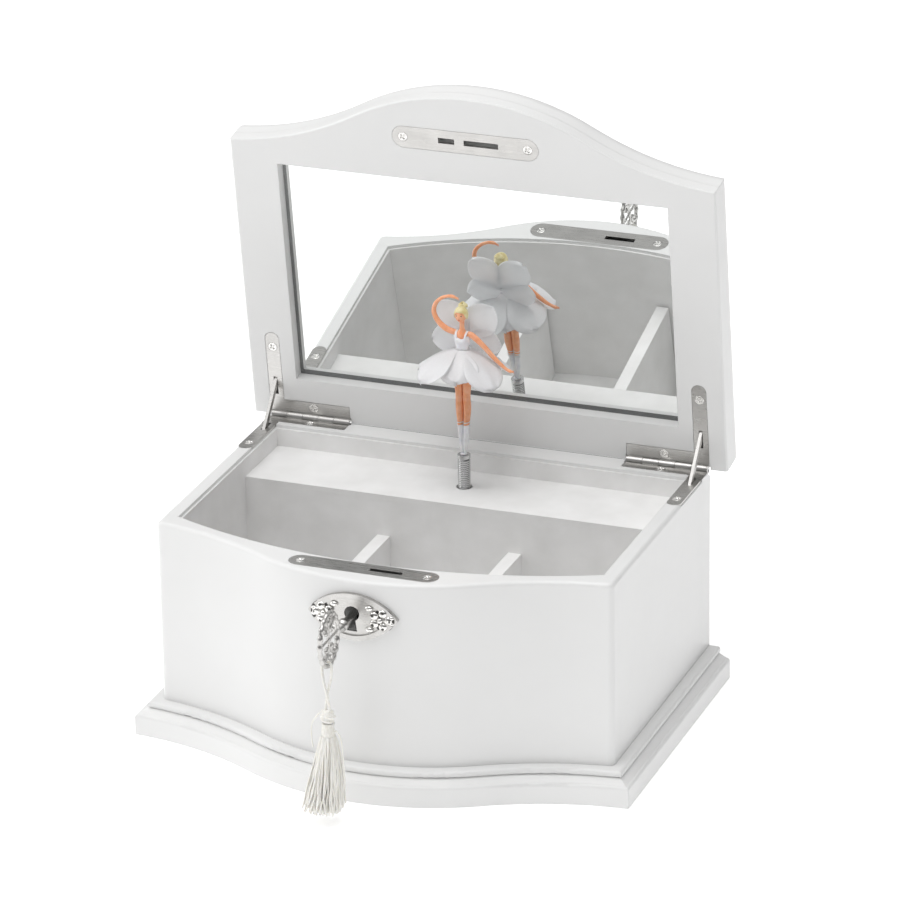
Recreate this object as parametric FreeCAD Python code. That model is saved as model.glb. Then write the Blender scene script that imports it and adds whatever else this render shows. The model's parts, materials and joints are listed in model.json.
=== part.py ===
import FreeCAD, Part
import math
import os

# Ballerina jewellery box. Millimetres. +X is the box's right, -Y its bowed front, +Z up.
# The origin is on the floor, under the middle of the straight-sided part of the box.
# The lid is shaped closed and then opened by OPEN_ANGLE, which is the rest pose.

V = FreeCAD.Vector
X_AXIS = V(1, 0, 0)
Y_AXIS = V(0, 1, 0)
Z_AXIS = V(0, 0, 1)

# Case
BODY_HALF_W = 105.0
BACK_Y = 65.5
RIM_Z = 99.5
SIDE_WALL = 7.0
BACK_WALL = 11.5
LINER = 1.0
EDGE_ROUND = 2.0
CORNER_ROUND = 3.0
PANEL_FOOT = 0.6
BOTTOM_Z0 = 17.0
BOTTOM_Z1 = 20.0
FLOOR_Z = BOTTOM_Z1 + LINER

# Bowed front: one round crest between two hollows, drawn for the case and offset elsewhere
CREST_R = 100.5
HOLLOW_R = 149.0
BOW_TURN = math.radians(29.5)
CREST_Y = -97.5
CREST_CENTRE_Y = CREST_Y + CREST_R
HOLLOW_X = (CREST_R + HOLLOW_R) * math.sin(BOW_TURN)
HOLLOW_Y = CREST_CENTRE_Y - (CREST_R + HOLLOW_R) * math.cos(BOW_TURN)
# Inside of the front: a single shallow arc
INNER_R = 240.7
INNER_CENTRE_Y = 162.2
INNER_CORNER_Y = INNER_CENTRE_Y - math.sqrt(INNER_R ** 2 - (BODY_HALF_W - SIDE_WALL) ** 2)

# Plinth moulding
PLINTH_OUT = 9.7
PLINTH_FACE_Z = 8.2
SHOULDER_Z = 9.6
COVE_Z = 11.6
BEAD_OUT = 5.2
BEAD_Z = 14.6

# Tray and music platform
DIVIDER_X = 31.0
DIVIDER_T = 6.0
DIVIDER_Z = 70.0
RISER_Y = 15.0
RISER_T = 2.0
PLATFORM_Z = 89.6
PLATFORM_T = 3.0

# Lid, closed
LID_OUT = 8.0
LID_Z = 99.9
FRAME_T = 6.0
TOP_T = 14.5
TOP_ROUND = 9.0
OPEN_ANGLE = 82.0
APERTURE_HALF_W = 91.0
APERTURE_Y0 = -63.4
APERTURE_Y1 = 45.9
MIRROR_LAP = 4.8
MIRROR_T = 2.0
BACKING_T = 1.0

# Stay hinges
PIN_Y = BACK_Y
PIN_Z = 99.7
LEAF_T = 1.2
LEAF_X0 = 66.2
LEAF_X1 = 104.6
LIMB_W = 6.6
LIMB_REACH = 42.2
BAR_REACH = 8.0
LEAF_BACK = 2.35
KNUCKLE_R = 2.0
KNUCKLE_L = 7.6
KNUCKLE_COUNT = 5
KNUCKLE_GAP = 0.15
HINGE_PIN_R = 0.9
HINGE_BORE_R = 0.95
COVE_R = 2.6
STAY_X = 101.3
STAY_OUT = 12.15
STAY_T = 1.4
STAY_W = 2.6
STAY_NECK = 14.1
STAY_TIP = 15.6
STAY_HEAD_W = 3.8
SLOT_NEAR = 10.5
SLOT_FAR = 19.4
SLOT_W = 1.8
POCKET_NEAR = 10.1
POCKET_FAR = 21.3
POCKET_DEPTH = 16.2
POCKET_W = 4.5

# Screws
HEAD_R = 2.2
HEAD_T = 0.6
HEAD_SLACK = 0.05
CROSS_HALF_L = 1.3
CROSS_HALF_W = 0.25
CROSS_DEEP = 0.4
SHANK_R = 1.0
SHANK_L = 8.0

# Lock
LOCK_X = -1.0
LOCK_Y = -84.0
LOCK_PLATE_HALF_L = 34.0
LOCK_PLATE_W = 10.4
LOCK_PLATE_T = 1.5
LOCK_SCREW_X = 29.0
CASE_SLOT = (2.0, 16.6)
STRIKE_LONG_SLOT = (-1.6, 14.4)
STRIKE_SHORT_SLOT = (-13.5, -6.0)
LOCK_SLOT_W = 2.6
LOCK_BOX_X = (-14.0, 20.0)
LOCK_BOX_Y = (-88.0, -80.5)
LOCK_BOX_Z = (73.0, 98.0)
LOCK_WALL = 0.8
HOOK_X = 2.3
HOOK_Z = 91.5
HOOK_IN_R = 11.5
HOOK_OUT_R = 14.0
HOOK_T = 2.2
HOOK_TIP = 27.0
HOOK_TAIL = -71.0
HOOK_PIN_R = 1.5

# Key and tassel
KEY_Z = 84.0
KEY_SHANK_R = 1.6
KEY_TIP_Y = -85.4
KEY_COLLAR_Y = -109.0
KEY_COLLAR_R = 2.6
KEY_COLLAR_T = 2.8
BIT_Y = (-87.0, -85.4)
BIT_R = 5.4
BIT_T = 1.6
BOW_Y = -125.0
BOW_HALF_L = 9.9
BOW_HALF_H = 11.6
BOW_WIRE_R = 1.15
SCROLL_R = 3.6
SCROLL_WIRE_R = 0.8
SCROLL_RISE = 4.4
SCROLL_BACK = 1.0
SPINE_R = 0.9
ESCUTCHEON_Z = 83.4
ESCUTCHEON_HALF_L = 20.5
ESCUTCHEON_HALF_H = 10.7
ESCUTCHEON_T = 2.0
KEYHOLE_Z = 84.7
KEYHOLE_R = 3.4
KEYHOLE_DROP = 8.0
CORD_R = 0.6
CORD_END_Z = 52.6
TASSEL_Y = BOW_Y - 3.0
TASSEL_HEAD_R = 3.2
TASSEL_CAP_R = 1.7
TASSEL_BAND_R = 2.8
TASSEL_BAND_LAP = 0.6
TASSEL_SKIRT_Z = 40.6
TASSEL_FOOT_Z = 1.5
TASSEL_TOP_R = 3.4
TASSEL_FOOT_R = 9.6

# Music movement
MOVE_Y = 35.5
BED_X = (-16.0, 56.0)
BED_Y = (18.5, 52.5)
BED_T = 3.5
BED_Z = BOTTOM_Z1 + BED_T
BARREL_R = 12.0
BARREL_WALL = 1.2
BARREL_Z0 = 24.2
BARREL_Z1 = 38.0
CONTRATE_TEETH = 40
CONTRATE_R = 11.6
CONTRATE_HALF_FACE = 0.8
CONTRATE_RING_Z = 38.8
CONTRATE_TIP_Z = 39.9
PINION_TEETH = 10
PINION_R = 2.94
PINION_ADD = 0.35
PINION_DED = 0.55
SHAFT_Z = 42.49
PINION_X = (10.9, 12.3)
ARBOR_R = 1.0
CYLINDER_R = 6.4
CYLINDER_X = (17.4, 47.4)
PIN_R = 0.3
PIN_OUT = 0.7
TRACKS = 18
TRACK_PITCH = 1.62
WHEEL_MODULE = 0.5
WHEEL_TEETH = 40
WHEEL_X = (49.0, 50.4)
GOVERNOR_TEETH = 8
GOVERNOR_SLACK = 0.1
GOVERNOR_LEAN = math.radians(50.0)
GOVERNOR_ARBOR_R = 0.6
FLY_R = 4.5
COMB_T = 1.0
WINDER_R = 2.5
SPINDLE_R = 1.5
SPINDLE_TOP_Z = 88.4
SPINDLE_CUP_R = 2.6
PLATFORM_HOLE_R = 3.6

# Dancer
SPRING_COIL_R = 2.4
SPRING_WIRE_R = 0.44
SPRING_PITCH = 1.0
SPRING_TOP_Z = 103.6
FOOT_Z = 105.2
SHOE_Z = 119.0
WAIST_Z = 151.0
BODICE_H = 12.6
DOLL_HEAD_Z = 171.4
DOLL_HEAD_R = 3.4
HEM_Z = 142.0
TUTU_R = 22.0
TUTU_T = 1.4
WINGS_Z = 159.5
WINGS_Y = 5.5


def box(x, y, z):
    """Box from three (low, high) pairs."""
    return Part.makeBox(x[1] - x[0], y[1] - y[0], z[1] - z[0], V(x[0], y[0], z[0]))


def rod(radius, start, direction, length):
    return Part.makeCylinder(radius, length, start, direction)


def join(shapes):
    return shapes[0].fuse(shapes[1:]).removeSplitter()


def mirrored(shape):
    return shape.mirror(V(0, 0, 0), X_AXIS)


def opened(shape):
    """Turn a shape of the closed lid about the hinge pins to the rest pose."""
    turned = shape.copy()
    turned.rotate(V(0, PIN_Y, PIN_Z), X_AXIS, -OPEN_ANGLE)
    return turned


def half_opened(shape):
    """The stays turn half as far as the lid."""
    turned = shape.copy()
    turned.rotate(V(0, PIN_Y, PIN_Z), X_AXIS, -OPEN_ANGLE / 2)
    return turned


def save(name, shape):
    solids = shape.Solids
    result = solids[0] if len(solids) == 1 else Part.makeCompound(solids)
    valid = "ok" if result.isValid() else "INVALID"
    print(name, len(solids), "solids", round(shape.Volume, 1), "mm3", valid)
    result.exportStep("parts/" + name + ".step")


def line(a, b):
    return Part.LineSegment(a, b).toShape()


def arc(a, middle, b):
    return Part.Arc(a, middle, b).toShape()


def polygon(points):
    return Part.makePolygon(points + [points[0]])


# --- Bowed outlines ---------------------------------------------------------

def bow_point(angle, out, side, z):
    """Point on the crest arc, at an angle from its middle towards one side."""
    radius = CREST_R + out
    return V(side * radius * math.sin(angle), CREST_CENTRE_Y - radius * math.cos(angle), z)


def hollow_point(x, out, z):
    """Point on the hollow arc at a given distance from the middle."""
    radius = HOLLOW_R - out
    y = HOLLOW_Y + math.sqrt(radius ** 2 - (HOLLOW_X - abs(x)) ** 2)
    return V(x, y, z)


def bow_edges(out, half_w, z):
    """Front outline from left to right: hollow, crest, hollow."""
    turn_left = bow_point(BOW_TURN, out, -1, z)
    turn_right = bow_point(BOW_TURN, out, 1, z)
    crest = bow_point(0, out, 1, z)
    left = hollow_point(-half_w, out, z)
    right = hollow_point(half_w, out, z)
    mid_x = (half_w + turn_right.x) / 2
    return [
        arc(left, hollow_point(-mid_x, out, z), turn_left),
        arc(turn_left, crest, turn_right),
        arc(turn_right, hollow_point(mid_x, out, z), right),
    ]


def bow_wire(out, half_w, back_y, z):
    """Closed outline: bowed front, straight sides and back."""
    left = hollow_point(-half_w, out, z)
    right = hollow_point(half_w, out, z)
    back_right = V(half_w, back_y, z)
    back_left = V(-half_w, back_y, z)
    straight = [line(right, back_right), line(back_right, back_left), line(back_left, left)]
    return Part.Wire(bow_edges(out, half_w, z) + straight)


def bow_slab(out, half_w, back_y, z0, z1):
    return Part.Face(bow_wire(out, half_w, back_y, z0)).extrude(V(0, 0, z1 - z0))


def level_edges(shape, z, back_y):
    """Edges lying at height z, leaving out the straight back one."""
    found = []
    for edge in shape.Edges:
        bounds = edge.BoundBox
        flat = abs(bounds.ZMin - z) < 0.01 and abs(bounds.ZMax - z) < 0.01
        if flat and bounds.YMin < back_y - 0.01:
            found.append(edge)
    return found


# --- Case -------------------------------------------------------------------

def hinge_leaf_room(z0, z1, side):
    """Shallow mortise for an L-shaped leaf, cove for its barrel, in the closed position."""
    slack = 0.15
    inner_x = LEAF_X1 - LIMB_W
    end_r = LIMB_W / 2 + slack
    end_y = PIN_Y - LIMB_REACH + LIMB_W / 2
    limb = box((inner_x - slack, LEAF_X1 + slack), (end_y, PIN_Y), (z0, z1))
    end = rod(end_r, V(LEAF_X1 - LIMB_W / 2, end_y, z0), Z_AXIS, z1 - z0)
    bar = box((LEAF_X0 - slack, LEAF_X1 + slack), (PIN_Y - BAR_REACH - slack, PIN_Y), (z0, z1))
    barrel_x = LEAF_X0 - 0.6
    barrel = rod(COVE_R, V(barrel_x, PIN_Y, PIN_Z), X_AXIS, LEAF_X1 + 0.6 - barrel_x)
    room = join([limb, end, bar, barrel])
    return room if side > 0 else mirrored(room)


def stay_pocket(z0, z1, side):
    pocket = box((STAY_X - POCKET_W / 2, STAY_X + POCKET_W / 2),
                 (PIN_Y - POCKET_FAR, PIN_Y - POCKET_NEAR), (z0, z1))
    return pocket if side > 0 else mirrored(pocket)


def leaf_screw_places(side):
    """Where each leaf is screwed: near the end of its limb and in its bar."""
    return [V(side * STAY_X, PIN_Y - 34.9, 0), V(side * 83.7, PIN_Y - 5.2, 0)]


def case_cuts():
    """Everything let into the rim of the case from above."""
    cuts = []
    for side in (-1, 1):
        cuts.append(hinge_leaf_room(RIM_Z - LEAF_T, RIM_Z + 1, side))
        cuts.append(stay_pocket(PIN_Z - POCKET_DEPTH, RIM_Z, side))
        for place in leaf_screw_places(side):
            cuts.append(rod(SHANK_R, V(place.x, place.y, RIM_Z - SHANK_L), Z_AXIS, SHANK_L))
    return cuts


def lock_plate_blank(z0, thickness, slack):
    """Flat bar with round ends, centred on the lock."""
    half_w = LOCK_PLATE_W / 2 + slack
    straight = LOCK_PLATE_HALF_L - LOCK_PLATE_W / 2
    bar = box((LOCK_X - straight, LOCK_X + straight), (LOCK_Y - half_w, LOCK_Y + half_w),
              (z0, z0 + thickness))
    ends = [rod(half_w, V(LOCK_X + s * straight, LOCK_Y, z0), Z_AXIS, thickness) for s in (-1, 1)]
    return join([bar] + ends)


def keyhole(y0, y1, grow):
    """Round hole with a flared slot under it, along Y."""
    depth = y1 - y0
    ring = rod(KEYHOLE_R + grow, V(LOCK_X, y0, KEYHOLE_Z), Y_AXIS, depth)
    top_w = 1.2 + grow
    foot_w = 2.3 + grow
    foot_z = KEYHOLE_Z - KEYHOLE_DROP - grow
    corners = [V(LOCK_X - top_w, y0, KEYHOLE_Z), V(LOCK_X + top_w, y0, KEYHOLE_Z),
               V(LOCK_X + foot_w, y0, foot_z), V(LOCK_X - foot_w, y0, foot_z)]
    slot = Part.Face(polygon(corners)).extrude(V(0, depth, 0))
    return ring.fuse(slot)


def front_panel():
    z0 = PANEL_FOOT
    right = hollow_point(BODY_HALF_W, 0, z0)
    left = hollow_point(-BODY_HALF_W, 0, z0)
    inner_x = BODY_HALF_W - SIDE_WALL
    points = [right, V(BODY_HALF_W, INNER_CORNER_Y, z0), V(inner_x, INNER_CORNER_Y, z0),
              V(-inner_x, INNER_CORNER_Y, z0), V(-BODY_HALF_W, INNER_CORNER_Y, z0), left]
    inner_crest = V(0, INNER_CENTRE_Y - INNER_R, z0)
    edges = bow_edges(0, BODY_HALF_W, z0)
    edges += [line(points[0], points[1]), line(points[1], points[2])]
    edges += [arc(points[2], inner_crest, points[3])]
    edges += [line(points[3], points[4]), line(points[4], points[5])]
    panel = Part.Face(Part.Wire(edges)).extrude(V(0, 0, RIM_Z - z0))
    corner_edges = []
    for edge in panel.Edges:
        bounds = edge.BoundBox
        upright = bounds.ZMax - bounds.ZMin > 50
        if upright and abs(abs(bounds.XMin) - BODY_HALF_W) < 0.01 and bounds.YMax < INNER_CORNER_Y - 1:
            corner_edges.append(edge)
    panel = panel.makeFillet(CORNER_ROUND, corner_edges)
    rim_edges = []
    for edge in panel.Edges:
        bounds = edge.BoundBox
        at_rim = bounds.ZMin > RIM_Z - 0.01
        middle = edge.valueAt((edge.FirstParameter + edge.LastParameter) / 2)
        from_centre = math.hypot(middle.x, middle.y - INNER_CENTRE_Y)
        outside = middle.y < INNER_CORNER_Y - 1 and from_centre > INNER_R + 1
        if at_rim and outside:
            rim_edges.append(edge)
    panel = panel.makeFillet(EDGE_ROUND, rim_edges)
    slack = 0.2
    mortise = box((LOCK_BOX_X[0] - slack, LOCK_BOX_X[1] + slack),
                  (LOCK_BOX_Y[0] - slack, LOCK_BOX_Y[1] + slack),
                  (LOCK_BOX_Z[0] - slack, RIM_Z))
    cuts = [mortise, lock_plate_blank(RIM_Z - LOCK_PLATE_T, 3, 0.1),
            keyhole(CREST_Y - 1, LOCK_BOX_Y[0], 0.3)]
    for side in (-1, 1):
        place = V(LOCK_X + side * LOCK_SCREW_X, LOCK_Y, RIM_Z - SHANK_L)
        cuts.append(rod(SHANK_R, place, Z_AXIS, SHANK_L))
    return panel.cut(cuts)


def side_panel(side):
    x0 = BODY_HALF_W - SIDE_WALL
    panel = box((x0, BODY_HALF_W), (INNER_CORNER_Y, BACK_Y - BACK_WALL), (PANEL_FOOT, RIM_Z))
    outer_top = []
    for edge in panel.Edges:
        bounds = edge.BoundBox
        if bounds.ZMin > RIM_Z - 0.01 and bounds.XMin > BODY_HALF_W - 0.01:
            outer_top.append(edge)
    panel = panel.makeFillet(EDGE_ROUND, outer_top)
    if side < 0:
        panel = mirrored(panel)
    return panel.cut(case_cuts())


def back_panel():
    panel = box((-BODY_HALF_W, BODY_HALF_W), (BACK_Y - BACK_WALL, BACK_Y), (PANEL_FOOT, RIM_Z))
    return panel.cut(case_cuts())


def inner_outline(z, inset):
    """Face of the inside of the case, with the front as one shallow arc."""
    half_w = BODY_HALF_W - SIDE_WALL - inset
    radius = INNER_R - inset
    corner_y = INNER_CENTRE_Y - math.sqrt(radius ** 2 - half_w ** 2)
    back_y = BACK_Y - BACK_WALL - inset
    left = V(-half_w, corner_y, z)
    right = V(half_w, corner_y, z)
    back_right = V(half_w, back_y, z)
    back_left = V(-half_w, back_y, z)
    front = arc(left, V(0, INNER_CENTRE_Y - radius, z), right)
    sides = [line(right, back_right), line(back_right, back_left), line(back_left, left)]
    return Part.Face(Part.Wire([front] + sides))


def winder_hole(radius, z0, z1):
    return rod(radius, V(0, MOVE_Y, z0), Z_AXIS, z1 - z0)


def movement_screw_places():
    return [(-12.0, 21.5), (-12.0, 49.5), (30.0, 49.5)]


def bottom_panel():
    panel = inner_outline(BOTTOM_Z0, 0).extrude(V(0, 0, BOTTOM_Z1 - BOTTOM_Z0))
    cuts = [winder_hole(3.4, BOTTOM_Z0, BOTTOM_Z1)]
    for x, y in movement_screw_places():
        cuts.append(rod(SHANK_R, V(x, y, BOTTOM_Z0), Z_AXIS, BOTTOM_Z1 - BOTTOM_Z0))
    return panel.cut(cuts)


def liner(part):
    """One of the covered boards that face the inside of the case."""
    low = FLOOR_Z
    top = RIM_Z - 1.5
    shell = inner_outline(BOTTOM_Z1, 0).extrude(V(0, 0, top - BOTTOM_Z1))
    core = inner_outline(BOTTOM_Z1, LINER).extrude(V(0, 0, top - BOTTOM_Z1))
    walls = shell.cut(core)
    inner_x = BODY_HALF_W - SIDE_WALL - LINER
    back_y = BACK_Y - BACK_WALL - LINER
    if part == "front":
        region = box((-inner_x, inner_x), (-90, INNER_CORNER_Y + 3), (BOTTOM_Z1, top))
        return walls.common(region)
    if part == "back":
        region = box((-inner_x, inner_x), (back_y, BACK_Y), (BOTTOM_Z1, top))
        return walls.common(region)
    if part == "left":
        region = box((-BODY_HALF_W, -inner_x), (-90, BACK_Y), (BOTTOM_Z1, top))
        return walls.common(region)
    if part == "right":
        region = box((inner_x, BODY_HALF_W), (-90, BACK_Y), (BOTTOM_Z1, top))
        return walls.common(region)
    floor = inner_outline(BOTTOM_Z1, LINER).extrude(V(0, 0, low - BOTTOM_Z1))
    return floor.common(box((-BODY_HALF_W, BODY_HALF_W), (-90, RISER_Y), (BOTTOM_Z1, low)))


def platform_top():
    half_w = BODY_HALF_W - SIDE_WALL - LINER
    board = box((-half_w, half_w), (RISER_Y, BACK_Y - BACK_WALL - LINER),
                (PLATFORM_Z - PLATFORM_T, PLATFORM_Z))
    return board.cut(winder_hole(PLATFORM_HOLE_R, PLATFORM_Z - PLATFORM_T, PLATFORM_Z))


def platform_riser():
    half_w = BODY_HALF_W - SIDE_WALL - LINER
    return box((-half_w, half_w), (RISER_Y, RISER_Y + RISER_T), (BOTTOM_Z1, PLATFORM_Z - PLATFORM_T))


def divider(side):
    x = side * DIVIDER_X
    return box((x - DIVIDER_T / 2, x + DIVIDER_T / 2), (-74.0, RISER_Y), (FLOOR_Z, DIVIDER_Z))


def plinth():
    """Moulding round the front and sides: square foot, round shoulder, hollow slope and bead."""
    foot = bow_slab(PLINTH_OUT, BODY_HALF_W + PLINTH_OUT, BACK_Y, 0, SHOULDER_Z)
    foot = foot.makeFillet(SHOULDER_Z - PLINTH_FACE_Z, level_edges(foot, SHOULDER_Z, BACK_Y))
    slope_low = bow_wire(PLINTH_OUT - 1.6, BODY_HALF_W + PLINTH_OUT - 1.6, BACK_Y, SHOULDER_Z)
    slope_high = bow_wire(BEAD_OUT - 0.8, BODY_HALF_W + BEAD_OUT - 0.8, BACK_Y, COVE_Z)
    slope = Part.makeLoft([slope_low, slope_high], True, True)
    bead = bow_slab(BEAD_OUT, BODY_HALF_W + BEAD_OUT, BACK_Y, COVE_Z, BEAD_Z)
    bead = bead.makeFillet(1.4, level_edges(bead, BEAD_Z, BACK_Y) + level_edges(bead, COVE_Z, BACK_Y))
    core = bow_slab(0, BODY_HALF_W, BACK_Y + 1, -1, BEAD_Z + 1)
    rounded = []
    for edge in core.Edges:
        bounds = edge.BoundBox
        upright = bounds.ZMax - bounds.ZMin > 10
        if upright and bounds.YMax < 0 and abs(abs(bounds.XMin) - BODY_HALF_W) < 0.01:
            rounded.append(edge)
    core = core.makeFillet(CORNER_ROUND, rounded)
    return foot.fuse([slope, bead]).cut(core)


# --- Hinges, stays and screws -----------------------------------------------

def hinge_leaf(z0, knuckles, side):
    """L-shaped leaf in the closed position, with its knuckles and countersunk holes."""
    z1 = z0 + LEAF_T
    inner_x = LEAF_X1 - LIMB_W
    end_y = PIN_Y - LIMB_REACH + LIMB_W / 2
    back_y = PIN_Y - LEAF_BACK
    limb = box((inner_x, LEAF_X1), (end_y, back_y), (z0, z1))
    end = rod(LIMB_W / 2, V(LEAF_X1 - LIMB_W / 2, end_y, z0), Z_AXIS, LEAF_T)
    bar = box((LEAF_X0, LEAF_X1), (PIN_Y - BAR_REACH, back_y), (z0, z1))
    pieces = [limb, end, bar]
    for index in knuckles:
        x0 = LEAF_X0 + index * KNUCKLE_L + KNUCKLE_GAP / 2
        x1 = LEAF_X0 + (index + 1) * KNUCKLE_L - KNUCKLE_GAP / 2
        pieces.append(rod(KNUCKLE_R, V(x0, PIN_Y, PIN_Z), X_AXIS, x1 - x0))
        pieces.append(box((x0, x1), (back_y, PIN_Y), (z0, z1)))
    leaf = join(pieces)
    cuts = [rod(HINGE_BORE_R, V(LEAF_X0 - 1, PIN_Y, PIN_Z), X_AXIS, LEAF_X1 - LEAF_X0 + 2)]
    cuts.append(box((STAY_X - SLOT_W / 2, STAY_X + SLOT_W / 2),
                    (PIN_Y - SLOT_FAR, PIN_Y - SLOT_NEAR), (z0, z1)))
    outer_z = z1 if z0 < PIN_Z else z0
    for place in leaf_screw_places(1):
        cuts.append(rod(SHANK_R, V(place.x, place.y, z0), Z_AXIS, LEAF_T))
        head_z = outer_z - HEAD_T if z0 < PIN_Z else outer_z
        cuts.append(rod(HEAD_R, V(place.x, place.y, head_z), Z_AXIS, HEAD_T))
    leaf = leaf.cut(cuts)
    return leaf if side > 0 else mirrored(leaf)


def hinge_pins():
    length = KNUCKLE_COUNT * KNUCKLE_L
    right = rod(HINGE_PIN_R, V(LEAF_X0, PIN_Y, PIN_Z), X_AXIS, length)
    return Part.makeCompound([right, mirrored(right)])


def stay(side):
    """Flat arm through both leaves with a T-head in each pocket, in the closed position."""
    y = PIN_Y - STAY_OUT
    y_range = (y - STAY_W / 2, y + STAY_W / 2)
    arm = box((STAY_X - STAY_T / 2, STAY_X + STAY_T / 2), y_range, (PIN_Z - STAY_NECK, PIN_Z + STAY_NECK))
    heads = []
    for end in (-1, 1):
        z = sorted((PIN_Z + end * STAY_NECK, PIN_Z + end * STAY_TIP))
        heads.append(box((STAY_X - STAY_HEAD_W / 2, STAY_X + STAY_HEAD_W / 2), y_range, z))
    shape = join([arm] + heads)
    return shape if side > 0 else mirrored(shape)


def screw(x, y, face_z, down):
    """Countersunk cross-head screw: its head is flush with face_z and its shank points down or up."""
    sign = -1 if down else 1
    axis = V(0, 0, sign)
    head = rod(HEAD_R - HEAD_SLACK, V(x, y, face_z), axis, HEAD_T)
    shank = rod(SHANK_R, V(x, y, face_z), axis, SHANK_L)
    body = head.fuse(shank)
    arms = []
    for size in ((CROSS_HALF_L, CROSS_HALF_W), (CROSS_HALF_W, CROSS_HALF_L)):
        z = sorted((face_z, face_z + sign * CROSS_DEEP))
        arms.append(box((x - size[0], x + size[0]), (y - size[1], y + size[1]), z))
    return body.cut(arms)


def case_screws():
    screws = []
    for side in (-1, 1):
        for place in leaf_screw_places(side):
            screws.append(screw(place.x, place.y, RIM_Z, True))
        screws.append(screw(LOCK_X + side * LOCK_SCREW_X, LOCK_Y, RIM_Z, True))
    return Part.makeCompound(screws)


def lid_screws():
    screws = []
    for side in (-1, 1):
        for place in leaf_screw_places(side):
            screws.append(screw(place.x, place.y, LID_Z, False))
        screws.append(screw(LOCK_X + side * LOCK_SCREW_X, LOCK_Y, LID_Z, False))
    return Part.makeCompound(screws)


# --- Lid, shaped closed -----------------------------------------------------

def lid_cuts():
    """Everything let into the lid from its underside."""
    cuts = []
    for side in (-1, 1):
        cuts.append(hinge_leaf_room(LID_Z - 1, LID_Z + LEAF_T, side))
        cuts.append(stay_pocket(LID_Z, PIN_Z + POCKET_DEPTH, side))
        for place in leaf_screw_places(side):
            cuts.append(rod(SHANK_R, V(place.x, place.y, LID_Z), Z_AXIS, SHANK_L))
        cuts.append(rod(SHANK_R, V(LOCK_X + side * LOCK_SCREW_X, LOCK_Y, LID_Z), Z_AXIS, SHANK_L))
    cuts.append(lock_plate_blank(LID_Z - 1, 1 + LOCK_PLATE_T, 0.1))
    half_w = LOCK_SLOT_W / 2 + 0.6
    cuts.append(box((-15.0, 16.0), (LOCK_Y - half_w, LOCK_Y + half_w), (LID_Z, LID_Z + 9.0)))
    return cuts


def lid_frame():
    slab = bow_slab(LID_OUT, BODY_HALF_W + LID_OUT, BACK_Y, LID_Z, LID_Z + FRAME_T)
    slab = slab.makeChamfer(0.7, level_edges(slab, LID_Z, BACK_Y))
    aperture = box((-APERTURE_HALF_W, APERTURE_HALF_W), (APERTURE_Y0, APERTURE_Y1), (LID_Z, LID_Z + FRAME_T))
    return slab.cut([aperture] + lid_cuts())


def mirror_range(slack):
    lap = MIRROR_LAP + slack
    return ((-APERTURE_HALF_W - lap, APERTURE_HALF_W + lap), (APERTURE_Y0 - lap, APERTURE_Y1 + lap))


def lid_top():
    z0 = LID_Z + FRAME_T
    slab = bow_slab(LID_OUT, BODY_HALF_W + LID_OUT, BACK_Y, z0, z0 + TOP_T)
    slab = slab.makeFillet(TOP_ROUND, level_edges(slab, z0 + TOP_T, BACK_Y))
    x, y = mirror_range(0.2)
    recess = box(x, y, (z0, z0 + MIRROR_T + BACKING_T))
    return slab.cut([recess] + lid_cuts())


def mirror_glass():
    x, y = mirror_range(0)
    z0 = LID_Z + FRAME_T
    return box(x, y, (z0, z0 + MIRROR_T))


def mirror_backing():
    x, y = mirror_range(0)
    z0 = LID_Z + FRAME_T + MIRROR_T
    return box(x, y, (z0, z0 + BACKING_T))


def plate_with_slots(z0, face_z, slots):
    """Lock or strike plate with its slots and countersunk screw holes."""
    plate = lock_plate_blank(z0, LOCK_PLATE_T, 0)
    cuts = []
    for x0, x1 in slots:
        cuts.append(box((x0, x1), (LOCK_Y - LOCK_SLOT_W / 2, LOCK_Y + LOCK_SLOT_W / 2),
                        (z0, z0 + LOCK_PLATE_T)))
    for side in (-1, 1):
        x = LOCK_X + side * LOCK_SCREW_X
        cuts.append(rod(SHANK_R, V(x, LOCK_Y, z0), Z_AXIS, LOCK_PLATE_T))
        sink_z = face_z - HEAD_T if face_z > z0 else face_z
        cuts.append(rod(HEAD_R, V(x, LOCK_Y, sink_z), Z_AXIS, HEAD_T))
    return plate.cut(cuts)


# --- Lock, key and tassel ---------------------------------------------------

def lock_case():
    """Folded steel box with the hook's pivot pin and a keyhole in its front."""
    outer = box(LOCK_BOX_X, LOCK_BOX_Y, LOCK_BOX_Z)
    inner = box((LOCK_BOX_X[0] + LOCK_WALL, LOCK_BOX_X[1] - LOCK_WALL),
                (LOCK_BOX_Y[0] + LOCK_WALL, LOCK_BOX_Y[1] - LOCK_WALL),
                (LOCK_BOX_Z[0] + LOCK_WALL, LOCK_BOX_Z[1]))
    pin_length = LOCK_BOX_Y[1] - LOCK_BOX_Y[0] - LOCK_WALL
    pin = rod(HOOK_PIN_R, V(HOOK_X, LOCK_BOX_Y[0] + LOCK_WALL / 2, HOOK_Z), Y_AXIS, pin_length)
    shell = outer.cut([inner, keyhole(LOCK_BOX_Y[0] - 1, LOCK_BOX_Y[0] + LOCK_WALL + 0.1, 0)])
    return shell.fuse(pin)


def polar(radius, degrees, y):
    angle = math.radians(degrees)
    return V(HOOK_X + radius * math.cos(angle), y, HOOK_Z + radius * math.sin(angle))


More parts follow.
